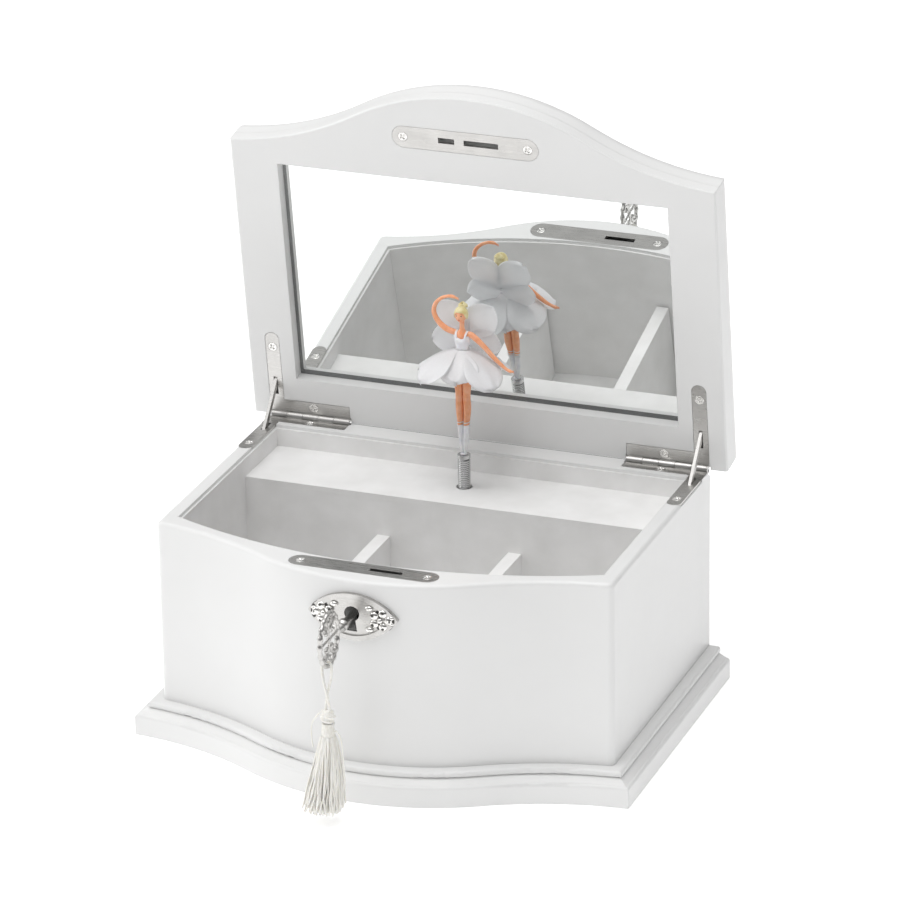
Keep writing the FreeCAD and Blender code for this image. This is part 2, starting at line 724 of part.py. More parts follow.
def lock_hook():
    """Claw bolt, turned back into the case: an arc about its pivot, on one arm."""
    y0 = LOCK_Y - HOOK_T / 2
    turns = (HOOK_TIP, (HOOK_TIP + HOOK_TAIL) / 2, HOOK_TAIL)
    outside = [polar(HOOK_OUT_R, turn, y0) for turn in turns]
    inside = [polar(HOOK_IN_R, turn, y0) for turn in turns]
    outer = arc(*outside)
    inner = arc(*reversed(inside))
    tail = line(outside[2], inside[2])
    tip = line(inside[0], outside[0])
    claw = Part.Face(Part.Wire([outer, tail, inner, tip])).extrude(V(0, HOOK_T, 0))
    hub = rod(HOOK_PIN_R + 1.7, V(HOOK_X, y0, HOOK_Z), Y_AXIS, HOOK_T)
    arm = box((HOOK_X, HOOK_X + HOOK_IN_R + 0.6), (y0, y0 + HOOK_T), (HOOK_Z - 1.6, HOOK_Z + 1.6))
    arm.rotate(V(HOOK_X, 0, HOOK_Z), Y_AXIS, -HOOK_TAIL - 8)
    shape = join([claw, hub, arm])
    return shape.cut(rod(HOOK_PIN_R + 0.06, V(HOOK_X, y0, HOOK_Z), Y_AXIS, HOOK_T))


def escutcheon():
    """Pointed oval cast plate that follows the round crest of the front."""
    y0 = CREST_Y - ESCUTCHEON_T - 4
    left = V(LOCK_X - ESCUTCHEON_HALF_L, y0, ESCUTCHEON_Z)
    right = V(LOCK_X + ESCUTCHEON_HALF_L, y0, ESCUTCHEON_Z)
    top = V(LOCK_X, y0, ESCUTCHEON_Z + ESCUTCHEON_HALF_H)
    foot = V(LOCK_X, y0, ESCUTCHEON_Z - ESCUTCHEON_HALF_H)
    outline = Part.Face(Part.Wire([arc(left, top, right), arc(right, foot, left)]))
    prism = outline.extrude(V(0, 20, 0))
    z0 = ESCUTCHEON_Z - 20
    centre = V(0, CREST_CENTRE_Y, z0)
    shell = rod(CREST_R + ESCUTCHEON_T, centre, Z_AXIS, 40).cut(rod(CREST_R, centre, Z_AXIS, 40))
    plate = prism.common(shell)
    scale = 0.8
    rim_inner = []
    half_l = ESCUTCHEON_HALF_L * scale
    half_h = ESCUTCHEON_HALF_H * scale
    a = V(LOCK_X - half_l, y0, ESCUTCHEON_Z)
    b = V(LOCK_X + half_l, y0, ESCUTCHEON_Z)
    rim_inner.append(arc(a, V(LOCK_X, y0, ESCUTCHEON_Z + half_h), b))
    rim_inner.append(arc(b, V(LOCK_X, y0, ESCUTCHEON_Z - half_h), a))
    field = Part.Face(Part.Wire(rim_inner)).extrude(V(0, 20, 0))
    sunk = rod(CREST_R + ESCUTCHEON_T + 1, centre, Z_AXIS, 40).cut(rod(CREST_R + 1.2, centre, Z_AXIS, 40))
    beads = []
    for side in (-1, 1):
        for k in range(6):
            angle = math.radians(60 * k)
            x = LOCK_X + side * 12.2 + 2.1 * math.cos(angle)
            z = ESCUTCHEON_Z + 2.1 * math.sin(angle)
            y = CREST_CENTRE_Y - math.sqrt((CREST_R + 1.2) ** 2 - x ** 2)
            beads.append(Part.makeSphere(1.15, V(x, y, z)))
        x = LOCK_X + side * 12.2
        y = CREST_CENTRE_Y - math.sqrt((CREST_R + 1.3) ** 2 - x ** 2)
        beads.append(Part.makeSphere(1.2, V(x, y, ESCUTCHEON_Z)))
    plate = plate.cut(field.common(sunk)).fuse(beads)
    behind = rod(CREST_R, centre, Z_AXIS, 40)
    return plate.cut([behind, keyhole(CREST_Y - 10, CREST_Y + 1, 0)])


def ellipse_ring(half_l, half_h, wire_r, centre_y):
    """Round wire bent to an upright oval in the plane of the key."""
    edge = Part.Ellipse(V(LOCK_X, centre_y, KEY_Z), half_h, half_l).toShape()
    edge.rotate(V(LOCK_X, centre_y, KEY_Z), Y_AXIS, 90)
    start = edge.valueAt(edge.FirstParameter)
    tangent = edge.tangentAt(edge.FirstParameter)
    section = Part.Wire(Part.Circle(start, tangent, wire_r).toShape())
    return Part.Wire(edge).makePipeShell([section], True, True)


def key():
    """Barrel key: bow with scrolls, collar, shank and bit."""
    near_y = BOW_Y + BOW_HALF_L
    shank = rod(KEY_SHANK_R, V(LOCK_X, near_y - 0.5, KEY_Z), Y_AXIS, KEY_TIP_Y - near_y + 0.5)
    collar_start = V(LOCK_X, KEY_COLLAR_Y - KEY_COLLAR_T / 2, KEY_Z)
    collar = rod(KEY_COLLAR_R, collar_start, Y_AXIS, KEY_COLLAR_T)
    bit = box((LOCK_X - BIT_T / 2, LOCK_X + BIT_T / 2), BIT_Y, (KEY_Z - BIT_R, KEY_Z))
    bow = ellipse_ring(BOW_HALF_L, BOW_HALF_H, BOW_WIRE_R, BOW_Y)
    scrolls = []
    for end in (-1, 1):
        centre = V(LOCK_X, BOW_Y + SCROLL_BACK, KEY_Z + end * SCROLL_RISE)
        scrolls.append(Part.makeTorus(SCROLL_R, SCROLL_WIRE_R, centre, X_AXIS))
    spine = rod(SPINE_R, V(LOCK_X, BOW_Y - BOW_HALF_L, KEY_Z), Y_AXIS, 2 * BOW_HALF_L)
    return join([shank, collar, bit, bow, spine] + scrolls)


CORD_ROUTE = [(0.9, 0.0, 52.6), (0.7, -0.8, 58.6), (-1.0, -0.65, 64.4), (-2.2, 0.0, 70.2),
              (-2.2, 0.0, 75.2), (2.2, 0.0, 75.2), (2.2, 0.0, 70.2), (1.0, 0.65, 64.4),
              (-0.7, 0.8, 58.6), (-0.9, 0.0, 52.6)]


def cord_points():
    """The doubled cord goes up from the tassel, over the bow's rim near its lowest point and down."""
    return [V(LOCK_X + x, TASSEL_Y + y, z) for x, y, z in CORD_ROUTE]


def cord_tube(points, radius):
    """Tube along straight runs joined by tangent arcs."""
    edges = []
    here = points[0]
    length = 0.0
    for before, corner, after in zip(points, points[1:], points[2:]):
        run_in = corner - before
        run_out = after - corner
        turn = run_in.getAngle(run_out)
        shorter = min(run_in.Length, run_out.Length)
        arc_r = 0.45 * shorter / math.tan(turn / 2)
        reach = 0.45 * shorter
        start = corner - run_in.normalize() * reach
        stop = corner + run_out.normalize() * reach
        bisector = (start - corner) + (stop - corner)
        bisector.normalize()
        to_centre = math.hypot(arc_r, reach)
        middle = corner + bisector * (to_centre - arc_r)
        edges.append(line(here, start))
        edges.append(arc(start, middle, stop))
        length += (start - here).Length + arc_r * turn
        print("cord arc radius", round(arc_r, 2), "mm")
        here = stop
    edges.append(line(here, points[-1]))
    length += (points[-1] - here).Length
    path = Part.Wire(edges)
    section = Part.Wire(Part.Circle(points[0], points[1] - points[0], radius).toShape())
    tube = path.makePipeShell([section], True, True)
    expected = math.pi * radius ** 2 * length
    print("cord length", round(length, 1), "mm; volume", round(tube.Volume, 2), "of", round(expected, 2))
    return tube


def tassel_head():
    """Knot of cord with the wound band under it."""
    centre_z = CORD_END_Z - TASSEL_HEAD_R
    ball = Part.makeSphere(TASSEL_HEAD_R, V(LOCK_X, TASSEL_Y, centre_z))
    cap = rod(TASSEL_CAP_R, V(LOCK_X, TASSEL_Y, centre_z), Z_AXIS, TASSEL_HEAD_R)
    band_h = centre_z - TASSEL_HEAD_R + TASSEL_BAND_LAP - TASSEL_SKIRT_Z
    band = rod(TASSEL_BAND_R, V(LOCK_X, TASSEL_Y, TASSEL_SKIRT_Z), Z_AXIS, band_h)
    return join([ball, cap, band])


def tassel_skirt():
    height = TASSEL_SKIRT_Z - TASSEL_FOOT_Z
    foot = V(LOCK_X, TASSEL_Y, TASSEL_FOOT_Z)
    return Part.makeCone(TASSEL_FOOT_R, TASSEL_TOP_R, height, foot, Z_AXIS)


# --- Music movement ---------------------------------------------------------

def tooth(base_w, tip_w, root, tip, face):
    """Tapered tooth standing along +Z from root to tip, centred on Y, with its face along X."""
    corners = [V(face[0], -base_w / 2, root), V(face[0], base_w / 2, root),
               V(face[0], tip_w / 2, tip), V(face[0], -tip_w / 2, tip)]
    return Part.Face(polygon(corners)).extrude(V(face[1] - face[0], 0, 0))


def spur(teeth, pitch_r, add, ded, face, widths, first, bore):
    """Gear about +X at the origin; first is the angle of tooth 0 from +Z."""
    root = pitch_r - ded
    disc = rod(root, V(face[0], 0, 0), X_AXIS, face[1] - face[0])
    blanks = [disc]
    for index in range(teeth):
        one = tooth(widths[0], widths[1], root - 0.15, pitch_r + add, face)
        one.rotate(V(0, 0, 0), X_AXIS, first + index * 360.0 / teeth)
        blanks.append(one)
    gear = join(blanks)
    if bore:
        gear = gear.cut(rod(bore, V(face[0], 0, 0), X_AXIS, face[1] - face[0]))
    return gear


def at_shaft(shape):
    moved = shape.copy()
    moved.translate(V(0, MOVE_Y, SHAFT_Z))
    return moved


def governor_place():
    distance = WHEEL_MODULE * (WHEEL_TEETH + GOVERNOR_TEETH) / 2 + GOVERNOR_SLACK
    y = MOVE_Y + distance * math.cos(GOVERNOR_LEAN)
    z = SHAFT_Z + distance * math.sin(GOVERNOR_LEAN)
    return V(0, y, z)


def movement_bedplate():
    """Cast bed with the comb's block and the posts that carry both shafts."""
    low = BED_Z - 0.5
    bed = box(BED_X, BED_Y, (BOTTOM_Z1, BED_Z))
    block = box((17.8, 47.0), (19.0, 22.4), (low, SHAFT_Z - COMB_T / 2))
    near_post = box((14.2, 16.4), (33.0, 38.0), (low, SHAFT_Z + 2.5))
    far_post = box((52.0, 54.5), (32.0, 47.0), (low, 54.5))
    rear_post = box((36.4, 38.8), (46.0, 49.5), (low, 54.0))
    rear_arm = box((36.4, 38.8), (41.8, 49.5), (49.8, 54.0))
    posts = join([bed, block, near_post, far_post, rear_post, rear_arm])
    governor = governor_place()
    cuts = [rod(ARBOR_R + 0.05, V(14, MOVE_Y, SHAFT_Z), X_AXIS, 42),
            rod(GOVERNOR_ARBOR_R + 0.05, V(36, governor.y, governor.z), X_AXIS, 20),
            winder_hole(WINDER_R + 0.05, BOTTOM_Z1, BED_Z)]
    for x, y in movement_screw_places():
        cuts.append(rod(SHANK_R, V(x, y, BOTTOM_Z1), Z_AXIS, BED_T - 0.4))
    for x in (21.0, 43.0):
        cuts.append(rod(0.8, V(x, 20.8, SHAFT_Z - 5), Z_AXIS, 5))
    return posts.cut(cuts)


def barrel_bridge():
    plate = box((-5, 5), (19.0, 52.0), (41.0, 42.6))
    legs = [box((-5, 5), y, (BED_Z, 41.2)) for y in ((19.0, 21.6), (49.4, 52.0))]
    return join([plate] + legs).cut(winder_hole(SPINDLE_R + 0.08, 40, 44))


def spring_barrel():
    """Drum that holds the mainspring, with a ring of upright teeth on its top."""
    drum = winder_hole(BARREL_R, BARREL_Z0, BARREL_Z1)
    hollow = winder_hole(BARREL_R - BARREL_WALL, BARREL_Z0 + BARREL_WALL, BARREL_Z1 - BARREL_WALL)
    hole = winder_hole(WINDER_R + 0.08, BARREL_Z0, BARREL_Z0 + BARREL_WALL)
    outer = winder_hole(CONTRATE_R + 1.0, BARREL_Z1 - 0.2, CONTRATE_RING_Z)
    inner = winder_hole(CONTRATE_R - 1.0, BARREL_Z1 - 0.2, CONTRATE_RING_Z)
    pieces = [drum.cut([hollow, hole]), outer.cut(inner)]
    face = (CONTRATE_R - CONTRATE_HALF_FACE, CONTRATE_R + CONTRATE_HALF_FACE)
    for index in range(CONTRATE_TEETH):
        one = tooth(0.7, 0.35, CONTRATE_RING_Z - 0.1, CONTRATE_TIP_Z, face)
        one.rotate(V(0, 0, 0), Z_AXIS, (index + 0.5) * 360.0 / CONTRATE_TEETH)
        one.translate(V(0, MOVE_Y, 0))
        pieces.append(one)
    return join(pieces)


def mainspring():
    """Coiled steel strip, drawn as half circles that step outwards."""
    strip = 0.5
    step = 0.8
    first_r = 3.2
    halves = 9
    z0 = BARREL_Z0 + BARREL_WALL + 0.4
    height = 9.6
    forward = []
    backward = []
    centre = 0.0
    radius = first_r
    sign = 1
    for index in range(halves):
        for rows, r in ((forward, radius + strip / 2), (backward, radius - strip / 2)):
            a = V(centre + sign * r, MOVE_Y, z0)
            b = V(centre - sign * r, MOVE_Y, z0)
            rows.append((a, V(centre, MOVE_Y + sign * r, z0), b))
        centre += sign * step
        radius += step
        sign = -sign
    edges = [arc(*row) for row in forward]
    edges.append(line(forward[-1][2], backward[-1][2]))
    edges += [arc(row[2], row[1], row[0]) for row in reversed(backward)]
    edges.append(line(backward[0][0], forward[0][0]))
    return Part.Face(Part.Wire(edges)).extrude(V(0, 0, height))


def winding_key():
    """Winding arbor through the bottom of the box with its wing handle."""
    arbor = winder_hole(WINDER_R, 11.0, 36.0)
    hub = winder_hole(3.6, 9.0, 14.0)
    wing = box((-11.0, 11.0), (MOVE_Y - 1.0, MOVE_Y + 1.0), (3.0, 10.0))
    corners = []
    for edge in wing.Edges:
        bounds = edge.BoundBox
        if bounds.YMax - bounds.YMin > 1.5:
            corners.append(edge)
    wing = wing.makeFillet(2.5, corners)
    return join([arbor, hub, wing])


def drive_spindle():
    """Upright rod that carries the barrel's turning up to the dancer's spring."""
    stem = winder_hole(SPINDLE_R, BARREL_Z1, SPINDLE_TOP_Z)
    cup = winder_hole(SPINDLE_CUP_R, SPINDLE_TOP_Z - 5, SPINDLE_TOP_Z)
    spigot = winder_hole(SPRING_COIL_R - SPRING_WIRE_R - 0.06, SPINDLE_TOP_Z - 1, SPINDLE_TOP_Z + 3)
    return join([stem, cup, spigot])


def cylinder_pinion():
    widths = (0.62, 0.35)
    gear = spur(PINION_TEETH, PINION_R, PINION_ADD, PINION_DED, PINION_X, widths, 180.0, ARBOR_R)
    return at_shaft(gear)


def cylinder_wheel():
    pitch_r = WHEEL_MODULE * WHEEL_TEETH / 2
    first = math.degrees(GOVERNOR_LEAN) - 90.0
    gear = spur(WHEEL_TEETH, pitch_r, 0.35, 0.6, WHEEL_X, (0.72, 0.34), first, ARBOR_R)
    holes = []
    for index in range(5):
        hole = rod(2.2, V(WHEEL_X[0], 5.6, 0), X_AXIS, WHEEL_X[1] - WHEEL_X[0])
        hole.rotate(V(0, 0, 0), X_AXIS, index * 72.0)
        holes.append(hole)
    return at_shaft(gear.cut(holes))


def cylinder_arbor():
    return rod(ARBOR_R, V(10.6, MOVE_Y, SHAFT_Z), X_AXIS, 43.7)


def music_cylinder():
    """Drum whose pins spell the tune, three to a track."""
    length = CYLINDER_X[1] - CYLINDER_X[0]
    drum = rod(CYLINDER_R, V(CYLINDER_X[0], 0, 0), X_AXIS, length)
    pieces = [drum]
    for track in range(TRACKS):
        x = CYLINDER_X[0] + 1.2 + track * TRACK_PITCH
        for beat in range(3):
            angle = 360.0 * ((track * 7 + beat * 11) % 31) / 31.0
            pin = rod(PIN_R, V(x, 0, CYLINDER_R - 0.5), Z_AXIS, PIN_OUT + 0.5)
            pin.rotate(V(x, 0, 0), X_AXIS, angle)
            pieces.append(pin)
    shape = join(pieces)
    return at_shaft(shape.cut(rod(ARBOR_R, V(CYLINDER_X[0], 0, 0), X_AXIS, length)))


def comb():
    """Steel comb with one tooth per track."""
    tip_y = MOVE_Y - CYLINDER_R - PIN_OUT - 0.35
    z = (SHAFT_Z - COMB_T / 2, SHAFT_Z + COMB_T / 2)
    plate = box((17.8, 47.0), (19.5, tip_y), z)
    cuts = []
    for track in range(TRACKS - 1):
        x = CYLINDER_X[0] + 1.2 + (track + 0.5) * TRACK_PITCH
        cuts.append(box((x - 0.25, x + 0.25), (22.8, tip_y), z))
    for x in (21.0, 43.0):
        cuts.append(rod(0.8, V(x, 20.8, z[0]), Z_AXIS, COMB_T))
    return plate.cut(cuts)


def movement_screws():
    """Three screws up through the bottom panel and two that hold the comb."""
    screws = []
    for x, y in movement_screw_places():
        head = rod(2.4, V(x, y, BOTTOM_Z0 - 1.4), Z_AXIS, 1.4)
        shank = rod(SHANK_R, V(x, y, BOTTOM_Z0), Z_AXIS, BED_T + 2.4)
        slot = box((x - 2.5, x + 2.5), (y - 0.3, y + 0.3), (BOTTOM_Z0 - 1.4, BOTTOM_Z0 - 0.8))
        screws.append(head.fuse(shank).cut(slot))
    for x in (21.0, 43.0):
        head = rod(1.3, V(x, 20.8, SHAFT_Z + COMB_T / 2), Z_AXIS, 1.0)
        shank = rod(0.8, V(x, 20.8, SHAFT_Z - 4.5), Z_AXIS, 4.5 + COMB_T / 2)
        slot = box((x - 1.4, x + 1.4), (20.6, 21.0), (SHAFT_Z + 1.1, SHAFT_Z + 1.6))
        screws.append(head.fuse(shank).cut(slot))
    return Part.makeCompound(screws)


def governor():
    """Small pinion and its air-brake fly on one arbor."""
    pitch_r = WHEEL_MODULE * GOVERNOR_TEETH / 2
    first = math.degrees(GOVERNOR_LEAN) + 90.0 + 180.0 / GOVERNOR_TEETH
    gear = spur(GOVERNOR_TEETH, pitch_r, 0.3, 0.6, (48.8, 50.6), (0.6, 0.32), first, 0)
    arbor = rod(GOVERNOR_ARBOR_R, V(36.8, 0, 0), X_AXIS, 17.4)
    fly = box((40.0, 46.5), (-FLY_R, FLY_R), (-0.3, 0.3))
    hub = rod(1.1, V(39.6, 0, 0), X_AXIS, 7.3)
    shape = join([gear, arbor, fly, hub])
    shape.translate(governor_place())
    return shape


# --- Dancer -----------------------------------------------------------------

def post(radius, z0, z1):
    return winder_hole(radius, z0, z1)


def coil_spring():
    """Close-wound steel spring under the dancer's feet."""
    z0 = SPINDLE_TOP_Z + SPRING_WIRE_R + 0.02
    height = SPRING_TOP_Z - SPRING_WIRE_R - z0
    helix = Part.makeHelix(SPRING_PITCH, height, SPRING_COIL_R)
    section = Part.Wire(Part.Circle(V(SPRING_COIL_R, 0, 0), Y_AXIS, SPRING_WIRE_R).toShape())
    spring = Part.Wire(helix).makePipeShell([section], True, True)
    spring.translate(V(0, MOVE_Y, z0))
    return spring


def spring_plug():
    """Socket that ties the top of the spring to the dancer's stand."""
    stem = post(SPRING_COIL_R - SPRING_WIRE_R - 0.06, SPRING_TOP_Z - 3, SPRING_TOP_Z)
    cap = post(2.9, SPRING_TOP_Z, FOOT_Z)
    return stem.fuse(cap)


def limb(points, radii):
    """Tapered limb: cones between round joints."""
    pieces = []
    for a, b, ra, rb in zip(points, points[1:], radii, radii[1:]):
        step = b - a
        if abs(ra - rb) < 0.01:
            pieces.append(rod(ra, a, step, step.Length))
        else:
            pieces.append(Part.makeCone(ra, rb, step.Length, a, step))
    for point, radius in zip(points, radii):
        pieces.append(Part.makeSphere(radius, point))
    return join(pieces)


def dancer_point(x, y, z):
    return V(x, MOVE_Y + y, z)


def dancer_legs():
    """Both legs together on the tips of the shoes, up into the skirt."""
    stand = post(2.0, FOOT_Z, FOOT_Z + 1.2)
    legs = []
    for side in (-1, 1):
        points = [dancer_point(side * 0.7, 0, FOOT_Z + 1.3), dancer_point(side * 1.1, 0, SHOE_Z),
                  dancer_point(side * 1.7, -0.2, 130), dancer_point(side * 2.1, 0, WAIST_Z - 3.5)]
        legs.append(limb(points, [1.0, 1.3, 2.0, 2.4]))
    hips = Part.makeCone(4.4, 2.8, 4.0, dancer_point(0, 0, WAIST_Z - 4.0), Z_AXIS)
    return join([stand] + legs + [hips])


def dancer_bodice():
    waist_h = BODICE_H - 3.0
    waist = Part.makeCone(2.8, 3.8, waist_h, dancer_point(0, 0, WAIST_Z), Z_AXIS)
    chest = Part.makeCone(3.8, 2.4, 3.0, dancer_point(0, 0, WAIST_Z + waist_h), Z_AXIS)
    return join([waist, chest])


def dancer_arms_and_head():
    """One arm curved over the head, the other held out and down."""
    top = WAIST_Z + BODICE_H
    chest = Part.makeCone(2.4, 1.4, 1.6, dancer_point(0, 0, top), Z_AXIS)
    neck = limb([dancer_point(0, 0, top + 1), dancer_point(-0.3, 0, DOLL_HEAD_Z - 2)], [1.4, 1.2])
    head = Part.makeSphere(DOLL_HEAD_R, dancer_point(-0.4, -0.2, DOLL_HEAD_Z))
    raised = limb([dancer_point(-2.8, 0, top - 0.8), dancer_point(-10.4, 0, 166.6),
                   dancer_point(-13.2, 0, 171.0), dancer_point(-10.8, 0, 177.2),
                   dancer_point(-4.6, 0, 180.2)], [1.3, 1.2, 1.0, 0.9, 0.8])
    lowered = limb([dancer_point(2.8, 0, top - 0.8), dancer_point(10.0, 0, 158.4),
                    dancer_point(20.5, 0, 148.6)], [1.3, 1.1, 0.8])
    return join([chest, neck, head, raised, lowered]).cut(dancer_bodice())


def dancer_hair():
    centre = dancer_point(-0.4, 0.5, DOLL_HEAD_Z + 0.5)
    cap = Part.makeSphere(DOLL_HEAD_R + 0.35, centre)
    bun = Part.makeSphere(2.1, dancer_point(-0.4, 2.4, DOLL_HEAD_Z + 3.2))
    face_room = box((-8, 8), (MOVE_Y - 9, MOVE_Y - 0.6), (DOLL_HEAD_Z - 8, DOLL_HEAD_Z + 1.6))
    head = Part.makeSphere(DOLL_HEAD_R, dancer_point(-0.4, -0.2, DOLL_HEAD_Z))
    neck_room = post(2.0, DOLL_HEAD_Z - 8, DOLL_HEAD_Z - 1.5)
    return join([cap, bun]).cut([face_room, head, neck_room])


def tutu():
    """Petal skirt as one closed bell from the waist to the hem."""
    height = WAIST_Z + 4.0 - HEM_Z
    flare = Part.makeCone(TUTU_R, 4.6, height, dancer_point(0, 0, HEM_Z), Z_AXIS)
    hollow = Part.makeCone(TUTU_R - TUTU_T, 4.6 - TUTU_T, height, dancer_point(0, 0, HEM_Z - 0.9), Z_AXIS)
    return flare.cut([hollow, dancer_legs(), dancer_bodice()])


def wings():
    """Four petal-shaped wings behind the shoulders."""
    petals = []
    for side in (-1, 1):
        for lean, length in ((42.0, 20.0), (98.0, 17.0)):
            edge = Part.Ellipse(V(0, length / 2, 0), length / 2, length * 0.32).toShape()
            edge.rotate(V(0, length / 2, 0), Z_AXIS, 90)
            plate = Part.Face(Part.Wire(edge)).extrude(V(0, 0, 0.3))
            plate.rotate(V(0, 0, 0), X_AXIS, 90)
            plate.rotate(V(0, 0, 0), Y_AXIS, side * lean)
            plate.translate(V(0, MOVE_Y + WINGS_Y, WINGS_Z))
            petals.append(plate)
    hub = rod(1.4, V(0, MOVE_Y + 2.6, WINGS_Z), Y_AXIS, WINGS_Y - 2.4)
    return join(petals + [hub]).cut(dancer_bodice())


def build():
    os.makedirs("parts", exist_ok=True)
    save("front_panel", front_panel())
    save("side_panel_left", side_panel(-1))
    save("side_panel_right", side_panel(1))
    save("back_panel", back_panel())
    save("bottom_panel", bottom_panel())
    save("plinth", plinth())
    for part in ("front", "back", "left", "right", "floor"):
        save("liner_" + part, liner(part))
    save("platform_top", platform_top())
    save("platform_riser", platform_riser())
    save("divider_left", divider(-1))
    save("divider_right", divider(1))
    save("hinge_case_leaf_left", hinge_leaf(RIM_Z - LEAF_T, (1, 3), -1))
    save("hinge_case_leaf_right", hinge_leaf(RIM_Z - LEAF_T, (1, 3), 1))
    save("hinge_pins", hinge_pins())
    save("case_screws", case_screws())
    save("lock_plate", plate_with_slots(RIM_Z - LOCK_PLATE_T, RIM_Z, [CASE_SLOT]))
    save("lock_case", lock_case())
    save("escutcheon", escutcheon())
    save("lid_frame", opened(lid_frame()))
    save("lid_top", opened(lid_top()))
    save("mirror", opened(mirror_glass()))
    save("mirror_backing", opened(mirror_backing()))
    save("strike_plate", opened(plate_with_slots(LID_Z, LID_Z, [STRIKE_LONG_SLOT, STRIKE_SHORT_SLOT])))
    save("hinge_lid_leaf_left", opened(hinge_leaf(LID_Z, (0, 2, 4), -1)))
    save("hinge_lid_leaf_right", opened(hinge_leaf(LID_Z, (0, 2, 4), 1)))
    save("lid_screws", opened(lid_screws()))
    save("stay_left", half_opened(stay(-1)))
    save("stay_right", half_opened(stay(1)))
    save("lock_hook", lock_hook())
    save("key", key())
    save("tassel_cord", cord_tube(cord_points(), CORD_R))
    save("tassel_head", tassel_head())
    save("tassel_skirt", tassel_skirt())
    save("movement_bedplate", movement_bedplate())
    save("barrel_bridge", barrel_bridge())
    save("comb", comb())
    save("movement_screws", movement_screws())
    save("spring_barrel", spring_barrel())
    save("mainspring", mainspring())
    save("drive_spindle", drive_spindle())
    save("winding_key", winding_key())
    save("cylinder_arbor", cylinder_arbor())
    save("cylinder_pinion", cylinder_pinion())
    save("cylinder_wheel", cylinder_wheel())
    save("music_cylinder", music_cylinder())
    save("governor", governor())
    save("coil_spring", coil_spring())
    save("spring_plug", spring_plug())
    save("dancer_legs", dancer_legs())
    save("dancer_bodice", dancer_bodice())
    save("dancer_arms_and_head", dancer_arms_and_head())
    save("dancer_hair", dancer_hair())
    save("tutu", tutu())
    save("wings", wings())


build()
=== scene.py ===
import bpy
import json
import math
import numpy as np
from mathutils import Matrix, Vector

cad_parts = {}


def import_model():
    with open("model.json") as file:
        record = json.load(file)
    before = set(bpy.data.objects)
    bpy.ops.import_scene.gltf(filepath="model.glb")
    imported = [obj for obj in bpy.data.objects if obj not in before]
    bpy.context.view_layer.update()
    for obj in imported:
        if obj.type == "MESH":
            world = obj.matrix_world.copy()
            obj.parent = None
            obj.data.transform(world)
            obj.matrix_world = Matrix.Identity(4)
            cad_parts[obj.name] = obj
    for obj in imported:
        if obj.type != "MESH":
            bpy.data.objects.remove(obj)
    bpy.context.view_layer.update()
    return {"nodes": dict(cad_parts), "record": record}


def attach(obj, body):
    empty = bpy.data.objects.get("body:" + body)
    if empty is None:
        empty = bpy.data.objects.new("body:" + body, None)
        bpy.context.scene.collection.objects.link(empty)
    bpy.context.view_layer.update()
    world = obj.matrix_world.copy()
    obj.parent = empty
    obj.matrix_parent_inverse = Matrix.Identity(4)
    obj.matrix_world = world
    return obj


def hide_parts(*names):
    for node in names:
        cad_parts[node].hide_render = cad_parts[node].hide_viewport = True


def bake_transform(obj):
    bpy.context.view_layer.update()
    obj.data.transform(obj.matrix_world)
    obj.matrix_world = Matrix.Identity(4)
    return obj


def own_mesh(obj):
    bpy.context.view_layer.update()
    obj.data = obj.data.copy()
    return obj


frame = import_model()

# Shapes are worked out in millimetres and put into the meshes in metres.
MM = 0.001

# The curved front: centre and radius of its middle arc.
CREST_CENTRE_Y = 3.0
CREST_R = 100.5

# Lock, key and tassel.
LOCK_X = -1.0
KEY_Z = 84.0
BOW_Y = -125.0
BOW_HALF_L = 9.9
BOW_HALF_H = 11.6
TASSEL_Y = BOW_Y - 3.0
CORD_R = 0.6
KNOT_TOP = 53.0
KNOT_MID = 49.6
KNOT_FOOT = 47.0
BAND_FOOT = 40.0
THREADS = 280
THREAD_TOP = 41.0
THREAD_FOOT = 6.4
FRINGE_LEAN = 2.8

# Escutcheon.
PLATE_Z = 83.4
FLOWER_OUT = 13.0
FLOWER_PETALS = 5

# Dancer.
DANCER_Y = 35.5
HEAD_X = -0.4
HEAD_Z = 171.4
WAIST_Z = 155.6
WAIST_R = 2.9
SHOULDER_Z = 159.5
SKIRT_THICKNESS = 0.16
WING_THICKNESS = 0.14
SPRING_R = 2.4
WIRE_R = 0.452
SPRING_FOOT = 88.88
SPRING_RISE = 14.26
SPRING_TURNS = 15.8

# Latitude at which a ball's rows stop, so that a small cap closes each pole.
POLE = np.pi / 2 * 0.985


# --- Camera -----------------------------------------------------------------

CAMERA_TURN = (20.97, 22.54, -0.91)
CAMERA_PLACE = (793.2, -2051.3, 1033.8)
CAMERA_LENS = 218.0
CAMERA_SENSOR = 36.0


def set_camera():
    """Long lens from the front right, a little above, with a slight roll. The turn is azimuth,
    elevation and roll in degrees, and the axes are the turned right, up and back directions."""
    az, el, roll = (math.radians(a) for a in CAMERA_TURN)
    right = np.array([math.cos(az), math.sin(az), 0.0])
    back = np.array([math.sin(az) * math.cos(el), -math.cos(az) * math.cos(el), math.sin(el)])
    up = np.cross(back, right)
    x = right * math.cos(roll) + up * math.sin(roll)
    y = up * math.cos(roll) - right * math.sin(roll)
    data = bpy.data.cameras.new("camera")
    data.lens = CAMERA_LENS
    data.sensor_width = CAMERA_SENSOR
    data.clip_start = 0.05
    data.clip_end = 20.0
    camera = bpy.data.objects.new("camera", data)
    bpy.context.scene.collection.objects.link(camera)
    matrix = Matrix(np.stack([x, y, back]).T.tolist()).to_4x4()
    matrix.translation = [v * MM for v in CAMERA_PLACE]
    camera.matrix_world = matrix
    bpy.context.scene.camera = camera


set_camera()


# --- Shader helpers ---------------------------------------------------------

# The part of a noise texture's range that it mostly fills.
NOISE_LOW = 0.3
NOISE_HIGH = 0.7


